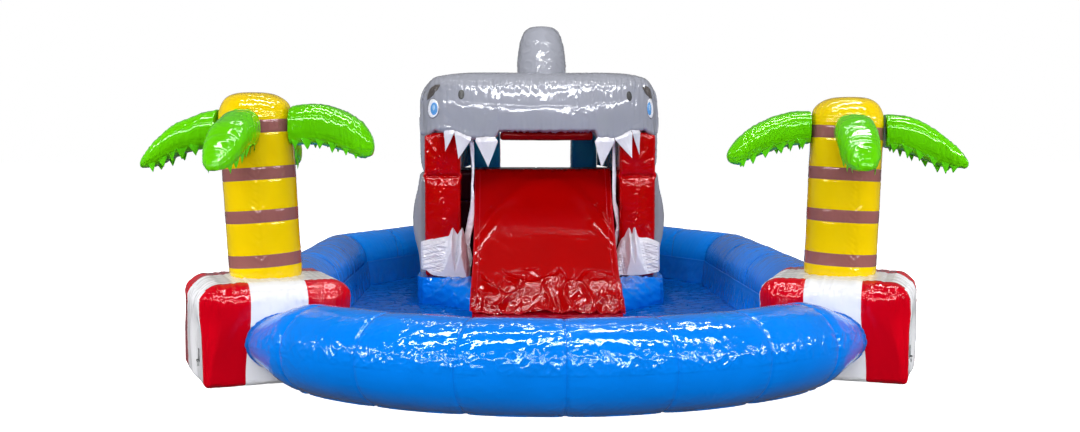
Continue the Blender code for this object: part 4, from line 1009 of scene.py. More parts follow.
def palm(side, word):
    c, _, _ = block_frame(side)
    which = 0 if side < 0 else 1
    z0, top = 0.7205, (2.115, 2.085)[which]
    k = math.tan(math.radians((3.1, 2.0)[which])) * side
    slope = (0.066, 0.050)[which]
    seed = 21.0 + 4 * side
    hb = 0.047
    cuts = [z for b in BANDS[which] for z in (b - hb, b + hb)]
    body = ticks(z0, top - 0.20, 0.011, cuts)
    dome = np.linspace(0, 1, int(34 / FINE))[1:]
    rad = curve((0, 0.45, 0.72, 0.88, 0.96, 1.0), (0.268, 0.256, 0.222, 0.155, 0.085, 0.0))
    zs = np.concatenate([body, top - 0.20 + 0.20 * np.sin(dome * math.pi / 2) ** 0.9])
    rs = np.concatenate([np.where(body < z0 + 0.05, 0.262 + 0.008 * smooth(z0, z0 + 0.05, body), 0.270), 0.27 * np.cos(dome * math.pi / 2) ** 0.62])
    rs[-1] = 0.004
    n_phi = int(150 / FINE)
    phi = np.linspace(0, 2 * math.pi, n_phi, endpoint=False)
    Z, PH = np.meshgrid(zs, phi, indexing="ij")
    R = np.broadcast_to(rs[:, None], Z.shape)
    q = PH * 0.27
    h = 0.0035 * noise(PH * 1.1, Z / 0.35, seed) + 0.0014 * noise(q / 0.09, Z / 0.09, seed + 1)
    for z in cuts + [z0 + 0.012, top - 0.175]:
        d = np.abs(Z - z)
        h = h - 0.0035 * np.exp(-(d / 0.007) ** 2) + 0.0036 * np.exp(-d / 0.035) * fold(noise(q / 0.026, d / 0.12, seed + z * 9), 0.32)
    dx = (PH - (1.5 * math.pi + 0.10)) * 0.27                         # the inner seam shows as a line of dents
    m = np.exp(-(dx / 0.050) ** 2)
    h = h + m * (0.0056 * fold(noise((Z - np.abs(dx) * 0.9) / 0.045, 1.0, seed + 6), 0.30) - 0.0046 * fold(noise((Z - np.abs(dx) * 0.9) / 0.052, 5.0, seed + 7), 0.2)
                 + 0.0025 * fold(noise(dx / 0.05, Z / 0.05, seed + 8), 0.25))
    h = h - 0.003 * np.exp(-(dx / 0.012) ** 2)
    h = h + 0.0016 * smooth(0, 0.3, noise(q / 0.3, Z / 0.3, seed + 12)) * fold(noise((q + Z) / 0.07, (q - Z) / 0.05, seed + 10), 0.18)
    up = smooth(top - 0.19, top - 0.10, Z)
    h = h * (1 - 0.5 * up) + up * 0.004 * fold(noise(PH * 4.5, Z / 0.4, seed + 14), 0.3) * smooth(0.02, 0.12, R)
    Rr = np.maximum(R + h * smooth(0, 0.1, R), 0.001)
    xr, yr = Rr * np.cos(PH), Rr * np.sin(PH)
    keep = smooth(z0, z0 + 0.12, Z) * (1 - smooth(top - 0.12, top - 0.02, Z))
    P = np.stack([c[0] + k * (Z - z0) + xr, c[1] + yr, Z - side * slope * xr * keep], -1)
    S = Shape()
    mid = (zs[:-1] + zs[1:]) / 2
    is_band = np.zeros(len(mid), bool)
    for b in BANDS[which]:
        is_band |= np.abs(mid - b) < hb
    mats = np.repeat(is_band[:, None], n_phi, 1).ravel().astype(int)
    S.grid(P, close_v=True, mat=mats, flip=True, cap0=True, cap1=True, cap_mat=0)
    piece("palm_trunk_%s_skin" % word, S, [YELLOW, BROWN], replaces=["palm_trunk_" + word])

    turn = math.radians(7.5)
    axis = np.array([c[0] + k * (1.85 - z0), c[1], 0.0])
    for j in range(4):
        a = -math.pi / 2 - turn + j * math.pi / 2
        d = np.array([math.cos(a), math.sin(a), 0.0])
        e = np.array([-d[1], d[0], 0.0])
        kind = ("inner_" if d[0] * side < -0.5 else "outer_") + word
        tops, lows = (curve(LEAF_AT, v) for v in LEAF_LINES[kind])
        half = curve(LEAF_AT, LEAF_HALF)
        rho = np.concatenate([np.linspace(0.2745, 0.885, int(70 / FINE)), 0.885 + 0.022 * np.sin(np.linspace(0.12, 1, 7) * math.pi / 2)])
        tip = np.where(rho > 0.885, np.sqrt(np.clip(1 - ((rho - 0.885) / 0.0225) ** 2, 0.0, 1)), 1.0)
        nb = int(84 / FINE)
        b = np.linspace(0, 2 * math.pi, nb, endpoint=False)
        RH, BB = np.meshgrid(rho, b, indexing="ij")
        hw = (half(np.minimum(rho, 0.885)) * tip)[:, None]
        zt, zl = tops(rho)[:, None], lows(rho)[:, None]
        zc, hh = (zt + zl) / 2, (zt - zl) / 2 * np.maximum(tip, 0.05)[:, None]
        sx, sy = np.cos(BB), np.sin(BB)
        sx = np.sign(sx) * np.abs(sx) ** 0.74
        sy = np.sign(sy) * np.abs(sy) ** 0.80
        sd = seed + 30 + 3.7 * j
        out = RH - 0.2745
        h = 0.0035 * noise(RH / 0.13, BB * 0.8, sd)
        h = h + 0.0065 * smooth(0.22, 0.46, out) * fold(noise(RH / 0.034 + 0.4 * np.sin(BB), BB * 0.5, sd + 1), 0.34)
        h = h + 0.0036 * fold(noise(RH / 0.06, BB * 0.7, sd + 4), 0.22)
        h = h + 0.0045 * np.exp(-out / 0.05) * fold(noise(BB * 3.6, out / 0.2, sd + 2), 0.3) - 0.004 * np.exp(-(out / 0.010) ** 2)
        seam = np.exp(-((np.abs(((BB + 0.45 + math.pi) % (2 * math.pi)) - math.pi)) / 0.07) ** 2) + np.exp(-((np.abs(((BB - math.pi - 0.45 + math.pi) % (2 * math.pi)) - math.pi)) / 0.07) ** 2)
        h = h - 0.004 * seam + 0.0030 * np.exp(-np.abs(np.sin(BB) + 0.43) / 0.25) * fold(noise(RH / 0.035, BB, sd + 3), 0.3) * (np.sin(BB) < 0.1)
        h = h * smooth(0.0, 0.05, hw)
        root = abs(k) * 0.17
        P = np.empty(RH.shape + (3,))
        P[:] = axis + d * (RH + root * (out < 0.01))[..., None] + e * ((hw + h) * sx)[..., None]
        P[..., 2] = zc + (hh + h) * sy
        S = Shape()
        S.grid(P, close_v=True, cap0=True, cap1=True)
        leaf = piece("palm_leaf_%s_%d_skin" % (word, j + 1), S, [GREEN], replaces=["palm_leaf_%s_%d" % (word, j + 1)], sharp=55)
        # fringe: a jagged skirt welded along each lower seam
        S = Shape()
        rnd = np.random.RandomState(int(sd * 10) % 997)
        for sgn in (-1, 1):
            n_teeth = 6
            per = int(14 / FINE)
            xx = np.linspace(0, 1, n_teeth * per + 1)
            edges = np.cumsum(np.concatenate([[0], 0.8 + 0.4 * rnd.rand(n_teeth)]))
            edges /= edges[-1]
            tooth = np.clip(np.searchsorted(edges, xx, side="right") - 1, 0, n_teeth - 1)
            f = (xx - edges[tooth]) / (edges[tooth + 1] - edges[tooth])
            skew = 0.35 + 0.3 * rnd.rand(n_teeth)
            tri = np.where(f < skew[tooth], f / skew[tooth], (1 - f) / (1 - skew[tooth]))
            deep = (0.078 + 0.034 * rnd.rand(n_teeth))[tooth]
            r_line = 0.300 + 0.53 * xx
            depth = 0.014 + deep * np.clip(tri, 0, 1) * (1 - 0.35 * smooth(0.8, 1.0, xx))
            ang = -0.45 if sgn > 0 else math.pi + 0.45
            cx, cy = np.cos(ang), np.sin(ang)
            hwl = half(r_line) * np.abs(cx) ** 0.74
            zm = (tops(r_line) + lows(r_line)) / 2 - (tops(r_line) - lows(r_line)) / 2 * np.abs(cy) ** 0.80
            rows = np.linspace(0, 1, 7)
            XX, RR = np.meshgrid(xx, rows, indexing="ij")
            dd = depth[:, None] * RR
            inward = 0.010 + 0.16 * dd + 0.012 * noise(XX * 9, RR * 2, sd + 7 * sgn) * RR + 0.008 * np.sin(XX * 31 + sgn) * RR
            P = np.empty(XX.shape + (3,))
            P[:] = axis + d * (r_line[:, None] + 0.006 * noise(XX * 12, RR, sd + 2) * RR)[..., None] + e * (sgn * (hwl[:, None] - inward))[..., None]
            P[..., 2] = zm[:, None] + 0.006 - dd
            shell(S, P if sgn > 0 else P[:, ::-1], 0.0016, 0)
        fr = piece("palm_fringe_%s_%d" % (word, j + 1), S, [GREEN_DARK])


# ================================================================ slide house
def house_base(side, word):
    """The cushion in the corner between slide and house: a front that runs back slantwise, sloping up to its top."""
    x0, x1 = (0.717, 0.787)[0 if side < 0 else 1], 1.33
    near, far = (0.55, 1.12) if side < 0 else (0.40, 0.95)
    seed = 61 + 5 * side
    lv = np.linspace(0, 1, int(30 / FINE))
    zs = 0.0086 + (0.29 - 0.0086) * np.sin(lv * math.pi / 2) ** 0.85
    push = np.interp(zs, (0.0085, 0.07, 0.14, 0.21, 0.262, 0.29), (0.03, 0.0, 0.06, 0.25, 0.56, 1.0))
    rings = []
    for z, f in zip(zs, push):
        yi, yo = near + f * (1.02 - near), far + f * (1.14 - far)
        p = [(x0, yi), (1.26, yo), (x1, yo + 0.14), (x1, 1.6395), (x0, 1.6395)]
        rings.append(poly(p, 0.012))
    n = min(len(r) for r in rings)
    out = []
    for r in rings:                                        # the same number of points on each ring
        c = np.concatenate([r, r[:1]])
        t = np.concatenate([[0], np.cumsum(np.linalg.norm(np.diff(c, axis=0), axis=1))])
        q = np.linspace(0, t[-1], n + 1)[:-1]
        out.append(np.stack([np.interp(q, t, c[:, 0]), np.interp(q, t, c[:, 1])], 1))
    R = np.array(out)
    low, top = R[0], R[-1]
    G = np.concatenate([R[:, :, :], (top.mean(0) + (top - top.mean(0)) * np.linspace(0.96, 0.02, int(34 / FINE))[:, None, None])])
    Z = np.concatenate([zs, np.full(len(G) - len(zs), 0.29)])[:, None] * np.ones(n)
    P = np.stack([G[..., 0], G[..., 1], Z], -1)
    x, y, z = P[..., 0], P[..., 1], P[..., 2]
    N0 = grid_normals(P, close_v=True)
    if (N0[5] * (P[5] - [top[:, 0].mean(), top[:, 1].mean(), 0.1])).sum() < 0:
        N0 = -N0
        flip = True
    else:
        flip = False
    wild = np.clip(-N0[..., 1], 0, 1) + np.clip(N0[..., 2], 0, 1) * smooth(1.22, 1.05, y)
    a, b = x * 0.7 + z * 0.9, z * 0.8 - x * 0.5 + y * 0.3
    h = 0.021 * fold(noise(a / 0.13, b / 0.22, seed), 0.24) + 0.014 * fold(noise(b / 0.07, a / 0.15, seed + 1), 0.24) + 0.013 * noise(x / 0.14, y / 0.14, z / 0.10 + seed)
    h = h + 0.006 * fold(noise(x / 0.05, y / 0.06, z / 0.05 + seed), 0.24)
    P = P + N0 * (h * np.clip(wild, 0, 1) * smooth(0.0, 0.05, x - x0) * smooth(0.0, 0.03, x1 - x))[..., None]
    P[..., 2] = np.clip(P[..., 2], 0.0086, np.where(P[..., 1] > 1.06, 0.2915, 0.312))
    P[..., 0] *= side
    S = Shape()
    S.grid(P, close_v=True, flip=flip != (side < 0), cap0=True, cap1=True)
    piece("house_base_%s_skin" % word, S, [BLUE_WRINKLED], replaces=["house_base_" + word], sharp=70)


def pillar(side, word):
    x0, x1, y0, y1 = 0.855, 1.25, 1.22, 1.597
    zl, zh = 0.2905, 1.785
    half = ((x1 - x0) / 2, (y1 - y0) / 2, (zh - zl) / 2)
    Q, Nn, F, S_, L = block(half, 0.038, 0.0100, ((), (), ()))
    x, y, z = L.T
    Z = z + (zl + zh) / 2
    seed = 71 + 5 * side
    fx, fy = np.clip(1 - (x / half[0]) ** 2, 0, 1), np.clip(1 - (y / half[1]) ** 2, 0, 1)
    nx, ny, nz = Nn.T
    up = Z > 1.37
    lobe = np.where(up, np.clip((Z - 1.37) / (zh - 1.37), 0, 1), np.clip((Z - zl) / (1.37 - zl), 0, 1))
    belly = np.where(up, np.sin(math.pi * np.minimum(lobe * 0.8, 1)) ** 0.5, np.sin(math.pi * lobe) ** 0.35)
    d = np.abs(Z - 1.37)
    wide, deep = nx ** 2, ny ** 2
    h = wide * (-0.012 + 0.012 * belly * fy + 0.016 * np.exp(-(d / 0.030) ** 2)) + deep * (-0.010 + 0.030 * belly * fx)
    h = h - deep * (0.030 * np.exp(-(d / 0.012) ** 2) + 0.016 * np.exp(-(d / 0.05) ** 2))
    run = np.where(np.abs(ny) > np.abs(nx), x, y)
    h = h + 0.0050 * np.exp(-d / 0.06) * fold(noise(run / 0.034, Z / 0.3, seed), 0.30)
    h = h + 0.0060 * np.exp(-(zh - Z) / 0.08) * fold(noise(run / 0.036, Z / 0.3, seed + 1), 0.30)
    # the upper lobe is drawn in towards its middle, so long folds cross it
    dx, dz = x + 0.03 * side, Z - 1.47
    ang = np.arctan2(dz, dx)
    h = h + np.where(up, deep * 0.006 * fold(noise(ang * 2.4, np.hypot(dx, dz) / 0.5, seed + 2), 0.20) * smooth(0.02, 0.10, np.hypot(dx, dz)), 0)
    h = h - np.where(up, deep * 0.012 * np.exp(-(dx / 0.06) ** 2 - (dz / 0.07) ** 2), 0)
    # a seam down the front of the lower lobe gathers small dents
    sx = x + side * 0.005
    h = h + np.where(up, 0, deep * 0.0045 * np.exp(-(sx / 0.045) ** 2) * fold(noise(Z / 0.045, sx / 0.05, seed + 6), 0.28))
    h = h + 0.0024 * fold(noise(x / 0.09, y / 0.09, Z / 0.06 + seed), 0.16) + 0.004 * noise(x / 0.2, y / 0.2, Z / 0.22 + seed)
    P = Q + Nn * h[:, None]
    P += [side * (x0 + x1) / 2, (y0 + y1) / 2, (zl + zh) / 2]
    # the head presses down on the top
    lift = smooth(1.60, zh, P[:, 2])
    P[:, 2] += lift * (0.026 + 0.029 * smooth(1.22, 1.10, np.abs(P[:, 0])))
    P[:, 2] = np.clip(P[:, 2], zl + 0.0005, zh + 0.052)
    P[:, 1] = np.minimum(P[:, 1], y1 + 0.001)
    S = Shape()
    S.faces(F + S.verts(P))
    piece("pillar_%s_skin" % word, S, [RED_DEEP], replaces=["pillar_" + word])


def gum(side, word):
    """White apron at the pillar's foot, gathered into two pointed teeth."""
    z0 = 0.2915
    if side < 0:
        peaks = ((0.841, 0.820), (0.942, 0.820))
        line = ((0.765, 0.43), (0.80, 0.585), (0.83, 0.70), (0.87, 0.745), (0.90, 0.742), (1.02, 0.735), (1.15, 0.700), (1.25, 0.676), (1.286, 0.664))
    else:
        peaks = ((0.957, 0.816), (1.018, 0.822))
        line = ((0.80, 0.44), (0.84, 0.60), (0.884, 0.695), (0.93, 0.725), (0.99, 0.745), (1.05, 0.725), (1.107, 0.715), (1.245, 0.672), (1.291, 0.650))
    xs = ticks(line[0][0], line[-1][0], 0.0065)
    base_top = curve(*zip(*line))(xs)
    topz = base_top.copy()
    for px, pz in peaks:
        tri = np.clip(1 - np.abs(xs - px) / 0.046, 0, 1)
        topz = np.maximum(topz, base_top + (pz - base_top) * tri ** 0.95)
    v = np.linspace(0, 1, int(72 / FINE))
    X, V = np.meshgrid(xs, v, indexing="ij")
    Zt = topz[:, None]
    tuck = ((0.76, 0.0), (0.95, 0.006), (1.05, 0.012), (1.151, 0.028), (1.228, 0.078), (1.29, 0.088)) if side < 0 else ((0.80, 0.008), (0.87, 0.016), (1.05, 0.022), (1.20, 0.040), (1.30, 0.062))
    foot = z0 + (curve(*zip(*tuck))(xs) + 0.006 * np.clip(noise(xs / 0.05, 1.0, 80.0 + side) + 0.2, 0, 1))[:, None]      # the hem runs up outwards
    Z = foot + (Zt - foot) * V
    seed = 81 + 6 * side
    yb = 1.2175
    base_rel = (Z - z0) / (np.maximum(base_top[:, None], 0.5) - z0)
    belly = 0.138 * np.clip(1.0 - base_rel, 0, 1) ** 0.60 * smooth(0, 0.06, 1.0 - V) + 0.010
    cones, ridge = 0.0, 0.0
    for px, pz in peaks:
        q = np.clip((pz - Z) / (pz - z0), 0, 1)                    # 0 at the point, 1 at the foot
        wz = 0.010 + 0.062 * q
        lean = (px - X) + 0.03 * q * (1 if side < 0 else 1)
        cones = np.maximum(cones, (0.028 + 0.100 * q ** 0.7) * np.exp(-(lean / wz) ** 2))
        ridge = ridge + np.exp(-((np.abs(lean) - wz) / 0.016) ** 2)
    near = np.exp(-((X - (peaks[0][0] + peaks[1][0]) / 2) / 0.13) ** 2)
    w_out = 1 - near
    belly = belly * (1 - 0.45 * near)
    wr = 0.013 * fold(noise(X / 0.24 + 0.8 * Z, (Z + 0.25 * (X - 1.0)) / 0.026, seed), 0.34) * w_out + 0.010 * fold(noise((X + Z * 0.5) / 0.16, (Z - X * 0.3) / 0.030, seed + 1), 0.26) * w_out
    wr = wr + 0.012 * fold(noise((X + 0.18 * (Z - 0.5)) / 0.030, Z / 0.35, seed + 2), 0.28) * near + 0.012 * noise(X / 0.09, Z / 0.10, seed + 3)
    Y = yb - np.clip(belly + cones + wr * smooth(0.0, 0.15, 1.0 - V), 0.004, 0.152)
    fade = smooth(0, 0.03, X - xs[0]) * smooth(0, 0.03, xs[-1] - X)
    Y = yb - (yb - Y) * (0.25 + 0.75 * fade)
    front = np.stack([side * X, Y, Z], -1)
    back = front.copy()
    back[..., 1] = yb
    S = Shape()
    a = S.verts(front)
    b = S.verts(back)
    nu, nv = X.shape
    fl = side < 0
    S.faces(grid_faces(nu, nv, base=a, flip=fl))
    S.faces(grid_faces(nu, nv, base=b, flip=not fl))
    ring = ([(i, 0) for i in range(nu)] + [(nu - 1, j) for j in range(1, nv)] + [(i, nv - 1) for i in range(nu - 2, -1, -1)] + [(0, j) for j in range(nv - 2, 0, -1)])
    idx = np.array([i * nv + j for i, j in ring])
    nx = np.roll(idx, -1)
    q = np.stack([a + nx, a + idx, b + idx, b + nx], 1)
    S.faces(q[:, ::-1] if fl else q)
    # the gum takes the darker copy of the white, painted shade
    piece("gum_%s_skin" % word, S, [WHITE_FLAP_PAINTED_SHADE], replaces=["gum_" + word], sharp=60)


STRIP_SEWN = (  # height and distance from the middle of the sewn edge, left and right strip
    ((0.293, 0.790), (0.45, 0.795), (0.529, 0.814), (0.608, 0.824), (0.726, 0.820), (0.818, 0.800), (0.924, 0.780), (1.029, 0.757), (1.134, 0.748), (1.278, 0.746), (1.343, 0.740), (1.435, 0.738), (1.539, 0.744), (1.67, 0.757), (1.745, 0.763)),
    ((0.293, 0.8535), (0.352, 0.8535), (0.405, 0.849), (0.471, 0.833), (0.551, 0.824), (0.643, 0.838), (0.736, 0.850), (0.828, 0.8535), (0.907, 0.852), (1.013, 0.848), (1.092, 0.824), (1.237, 0.821), (1.381, 0.823), (1.539, 0.815), (1.745, 0.812)),
)
STRIP_FREE = (  # the same for the free, zigzag edge
    ((0.293, 0.760), (0.344, 0.758), (0.41, 0.749), (0.482, 0.735), (0.542, 0.748), (0.621, 0.765), (0.726, 0.748), (0.845, 0.720), (0.969, 0.7125), (1.055, 0.7125), (1.147, 0.7135), (1.265, 0.724), (1.343, 0.716), (1.435, 0.7125), (1.745, 0.7125)),
    ((0.293, 0.838), (0.312, 0.835), (0.392, 0.815), (0.471, 0.790), (0.577, 0.7835), (0.643, 0.790), (0.749, 0.815), (0.828, 0.830), (0.894, 0.822), (1.00, 0.800), (1.079, 0.787), (1.237, 0.7835), (1.745, 0.7835)),
)


def tooth_strip(side, word):
    """Tall row of teeth that stands beside the slide, from the cushion up to the snout, a little wavy."""
    z = ticks(0.293, 1.745, 0.009)
    sewn, free = (np.interp(z, *zip(*row[0 if side < 0 else 1])) for row in (STRIP_SEWN, STRIP_FREE))
    seed = 91 + 4 * side
    v = np.linspace(0, 1, 9)
    Z, V = np.meshgrid(z, v, indexing="ij")
    X = sewn[:, None] * (1 - V) + free[:, None] * V
    Y = 1.281 + 0.012 * noise(Z / 0.22, V * 1.1, seed) + 0.008 * fold(noise(Z / 0.07, V * 1.5 + Z * 2, seed + 1), 0.3) - 0.010 * V
    P = np.stack([side * X, Y, Z], -1)
    S = Shape()
    probe = grid_normals(P)[len(z) // 2, 4]
    shell(S, P if probe[1] < 0 else P[:, ::-1], 0.0022)
    tape(S, P[:, 1] + [0, -0.0015, 0], np.repeat([[0.0, -1.0, 0.0]], len(z), 0), width=0.008, height=0.0014)
    # the strip takes the brighter white, painted light
    ob = piece("tooth_strip_%s_sheet" % word, S, [WHITE_STRIP_PAINTED_LIGHT, TAPE_WHITE], replaces=["tooth_strip_" + word])


def side_wall(side, word):
    half = (0.15, 1.48, (1.40 - 0.0085) / 2)
    seams = (-0.74, 0.0, 0.74)
    Q, Nn, F, S_, L = block(half, 0.11, 0.017, ((), seams, ()))
    x, y, z = L.T
    Z = z + (1.40 + 0.0085) / 2
    seed = 101 + 5 * side
    nx, ny, nz = Nn.T
    out = np.clip(nx * side, 0, 1)
    fz = np.clip(1 - (z / half[2]) ** 2, 0, 1)
    line = 1.412 - 0.115 * ((Z - 0.87) / 0.5) ** 2
    line = np.maximum(line, np.where(Z < 0.87, 1.235, 1.20))
    h = out ** 2 * (line - 1.40)
    lobe = np.abs(np.sin((y + 1.48) / 0.74 * math.pi))
    h = h + out ** 2 * (0.016 * lobe ** 0.6 - 0.012) * smooth(0, 0.2, fz)
    for s0 in seams:
        d = np.abs(y - s0)
        h = h - out * 0.010 * np.exp(-(d / 0.016) ** 2) + 0.005 * np.exp(-d / 0.10) * fold(noise(Z / 0.05, d / 0.25, seed + s0), 0.3) * (np.abs(nz) < 0.5)
    d = np.minimum(1.40 - Z, Z)
    h = h + 0.005 * np.exp(-d / 0.10) * fold(noise(y / 0.05, Z / 0.3, seed + 3), 0.3)
    h = h + 0.004 * noise(x / 0.3, y / 0.3, Z / 0.3 + seed) + 0.0016 * fold(noise(x / 0.1, y / 0.12, Z / 0.12 + seed), 0.15)
    h = np.where(nx * side < -0.5, np.minimum(h, 0.001), h)
    P = Q + Nn * h[:, None]
    P += [side * 1.25, 3.12, (1.40 + 0.0085) / 2]
    P[:, 2] = np.clip(P[:, 2], 0.0086, 1.404)
    P[:, 1] = np.minimum(P[:, 1], 4.6)
    S = Shape()
    b = S.verts(P)
    S.faces(F + b)
    piece("side_wall_%s_skin" % word, S, [GREY_SIDE], replaces=["side_wall_" + word])


def boxy(name, lo, hi, r, cell, mat, seed, replaces, bulge=0.010, wr=0.003, fixed=(), seams=()):
    """A plain chamber: bulged faces, puckered edges and soft folds. fixed names sides that stay flat."""
    lo, hi = np.array(lo, float), np.array(hi, float)
    half = (hi - lo) / 2
    Q, Nn, F, S_, L = block(tuple(half), r, cell, (tuple(seams), (), ()))
    x, y, z = L.T
    f = [np.clip(1 - (v / h) ** 2, 0, 1) for v, h in zip((x, y, z), half)]
    nx, ny, nz = Nn.T
    h = bulge * (nx ** 2 * f[1] * f[2] + ny ** 2 * f[0] * f[2] + nz ** 2 * f[0] * f[1]) - bulge * 0.35
    edge = np.minimum.reduce([np.where(np.abs(n) > 0.7, 9.0, hh - np.abs(v)) for n, v, hh in zip((nx, ny, nz), (x, y, z), half)])
    h = h + 1.4 * wr * np.exp(-edge / 0.07) * fold(noise((x + y) / 0.045, z / 0.045, seed), 0.28)
    for s0 in seams:
        h = h - 0.009 * np.exp(-((x - s0) / 0.014) ** 2) + 0.004 * np.exp(-np.abs(x - s0) / 0.08) * fold(noise(y / 0.045, z / 0.045, seed + s0), 0.3)
    h = h + wr * (0.8 * fold(noise(x / 0.11, y / 0.11, z / 0.09 + seed), 0.16) + 1.1 * noise(x / 0.28, y / 0.28, z / 0.28 + seed))
    for k in fixed:
        axis, sgn = {"x-": (0, -1), "x+": (0, 1), "y-": (1, -1), "y+": (1, 1), "z-": (2, -1), "z+": (2, 1)}[k]
        h = np.where(Nn[:, axis] * sgn > 0.3, np.minimum(h, 0.0005), h)
    P = Q + Nn * h[:, None] + (lo + hi) / 2
    P[:, 2] = np.maximum(P[:, 2], 0.0086)
    S = Shape()
    S.faces(F + S.verts(P))
    return piece(name, S, [mat], replaces=replaces)


SLIDE_LINE = ((-0.08, 0.055), (0.12, 0.235), (0.45, 0.475), (0.85, 0.80), (1.20, 1.11), (1.42, 1.31), (1.53, 1.402), (1.60, 1.426))


def slide():
    xc, hw = 0.035, 0.740
    top = catmull(SLIDE_LINE, int(110 / FINE))
    outline = np.concatenate([top, poly([(1.5985, 1.42), (1.5985, 0.0095)], 0.03, closed=False), poly([(1.57, 0.0095), (-0.06, 0.0095)], 0.03, closed=False), [(-0.078, 0.02)]])
    cen = outline.mean(0)
    xs = np.concatenate([[-hw, -hw + 0.004, -hw + 0.012], ticks(-hw + 0.03, hw - 0.03, 0.03), [hw - 0.012, hw - 0.004, hw]])
    inset = np.concatenate([[0.030, 0.014, 0.004], np.zeros(len(xs) - 6), [0.004, 0.014, 0.030]])
    g = unit(outline - cen)
    P = np.empty((len(xs), len(outline), 3))
    for i, (x, q) in enumerate(zip(xs, inset)):
        yz = outline - g * q
        P[i, :, 0], P[i, :, 1], P[i, :, 2] = xc + x, yz[:, 0], np.maximum(yz[:, 1], 0.0088)
    S = Shape()
    S.grid(P, close_v=True, cap0=True, cap1=True, flip=False)
    piece("slide_body_skin", S, [RED], replaces=["slide_body"], sharp=50)

    # the loose cover: hemmed sheet, crowned across, crumpled at its foot and gathered over the crest
    line = np.array([(-0.104, 0.052)] + [(y, z) for y, z in SLIDE_LINE[1:]] + [(1.64, 1.434), (1.72, 1.434)])
    n = int(250 / FINE)
    L = catmull(line, n)
    tan = np.gradient(L, axis=0)
    tan /= np.linalg.norm(tan, axis=1)[:, None]
    nor = np.stack([-tan[:, 1], tan[:, 0]], 1)
    s = np.concatenate([[0], np.cumsum(np.linalg.norm(np.diff(L, axis=0), axis=1))])
    u = ticks(-1, 1, 0.0088)
    Sg, U = np.meshgrid(s, u, indexing="ij")
    Y0 = L[:, 0][:, None]
    left = curve((-0.11, 0.3, 0.6, 1.0, 1.6, 1.72), (-0.728, -0.716, -0.706, -0.706, -0.712, -0.712))(L[:, 0])[:, None]
    right = curve((-0.11, 0.3, 0.6, 1.0, 1.6, 1.72), (0.792, 0.772, 0.762, 0.765, 0.781, 0.781))(L[:, 0])[:, None]
    X = left + (right - left) * (U + 1) / 2
    crown = np.clip(1 - U ** 2, 0, 1)
    slope_zone = smooth(-0.05, 0.25, Y0) * smooth(1.60, 1.35, Y0)
    w = 0.006 + 0.042 * crown ** 0.9 * slope_zone
    ridge = 1.36 - 0.60 * U ** 2 + 0.04 * U + 0.012 * noise(X / 0.35, 0, 2.0)
    w = w + 0.021 * np.exp(-((Y0 - ridge) / 0.10) ** 2)
    # soft drags in the upper part
    w = w + slope_zone * (0.0005 * noise(X / 0.5, Y0 / 0.22, 3.0) + 0.0009 * fold(noise(X / 0.45 + Y0 * 0.3, Y0 / 0.12, 6.0), 0.40) + 0.0008 * fold(noise((X - Y0) / 0.5, (X + Y0) / 0.15, 9.0), 0.40))
    # crumpled foot
    foot = 1.25 * smooth(0.42, 0.10, Y0)
    fan = X * (1.0 + 0.5 * (0.3 - Y0))
    w = w + foot * (0.040 * fold(noise(fan / 0.27 + 0.7 * Sg, Sg / 0.30 + 0.5 * np.abs(U), 13.0), 0.22) + 0.012 * fold(noise(fan / 0.125 - 1.1 * Sg, Sg / 0.17, 15.0), 0.26)
                    + 0.002 * fold(noise((X + 0.7 * Sg) / 0.12, (Sg - 0.7 * X) / 0.09, 17.0), 0.35) + 0.010 * (0.5 + noise(X / 0.14, Sg / 0.14, 19.0)))
    # gathered crest
    crest = np.exp(-((Y0 - 1.555) / 0.050) ** 2)
    w = w + crest * (0.010 * fold(noise(X / 0.028, Sg / 0.16, 21.0), 0.36) + 0.006 * fold(noise(X / 0.08, Sg / 0.05, 23.0), 0.25))
    # seams near the long edges
    for xe in (0.055, ):
        for dd in (X - left, right - X):
            w = w - 0.003 * np.exp(-((dd - xe) / 0.006) ** 2) + 0.0018 * np.exp(-np.abs(dd - xe) / 0.03) * fold(noise(Sg / 0.03, dd / 0.05, 25.0), 0.3)
            w = w - 0.004 * smooth(0.02, 0.0, dd)
        P = np.empty(X.shape + (3,))
    P[..., 0] = X
    P[..., 1] = L[:, 0][:, None] + nor[:, 0][:, None] * w
    P[..., 2] = L[:, 1][:, None] + nor[:, 1][:, None] * w
    wav = smooth(0.06, 0.0, Sg)
    P[..., 1] += wav * (0.020 * noise(X / 0.2, 0, 31.0) + 0.012 * noise(X / 0.07, 0, 33.0))
    P[..., 2] = np.maximum(P[..., 2], 0.030)
    S = Shape()
    shell(S, P.transpose(1, 0, 2), 0.003)
    Nn = grid_normals(P.transpose(1, 0, 2)).transpose(1, 0, 2)
    for j in (int(np.argmin(np.abs(u + 0.925))), int(np.argmin(np.abs(u - 0.925)))):
        tape(S, P[:, j], Nn[:, j], width=0.012, height=0.0024)
    for j, dd in ((1, 0), (len(u) - 2, 0)):
        tape(S, P[:, j], Nn[:, j], width=0.016, height=0.0034)
    tape(S, P[2], Nn[2], width=0.016, height=0.0034)
    ob = piece("slide_cover_sheet", S, [RED_SHEET, TAPE_RED], replaces=["slide_cover"], sharp=70)


JAW_X = ((0.0, 0.90, 1.850, 2.48), (0.50, 0.90, 1.850, 2.48), (0.56, 0.91, 1.765, 2.48), (0.75, 0.95, 1.765, 2.478),
         (0.95, 1.03, 1.850, 2.470), (1.12, 1.16, 1.860, 2.44), (1.22, 1.30, 1.815, 2.365), (1.275, 1.45, 1.83, 2.215))
JAW_FACE = ((0.0, 1.800), (0.50, 1.795), (0.75, 1.800), (0.95, 1.845), (1.12, 1.860), (1.22, 1.815), (1.275, 1.83))
PALATE_X = 0.0625          # the mouth's middle sits this far right of the head's
STATION = (-0.38, -11.7, 1.757)         # point in front of the pool from which the face was sighted
JAW = {}


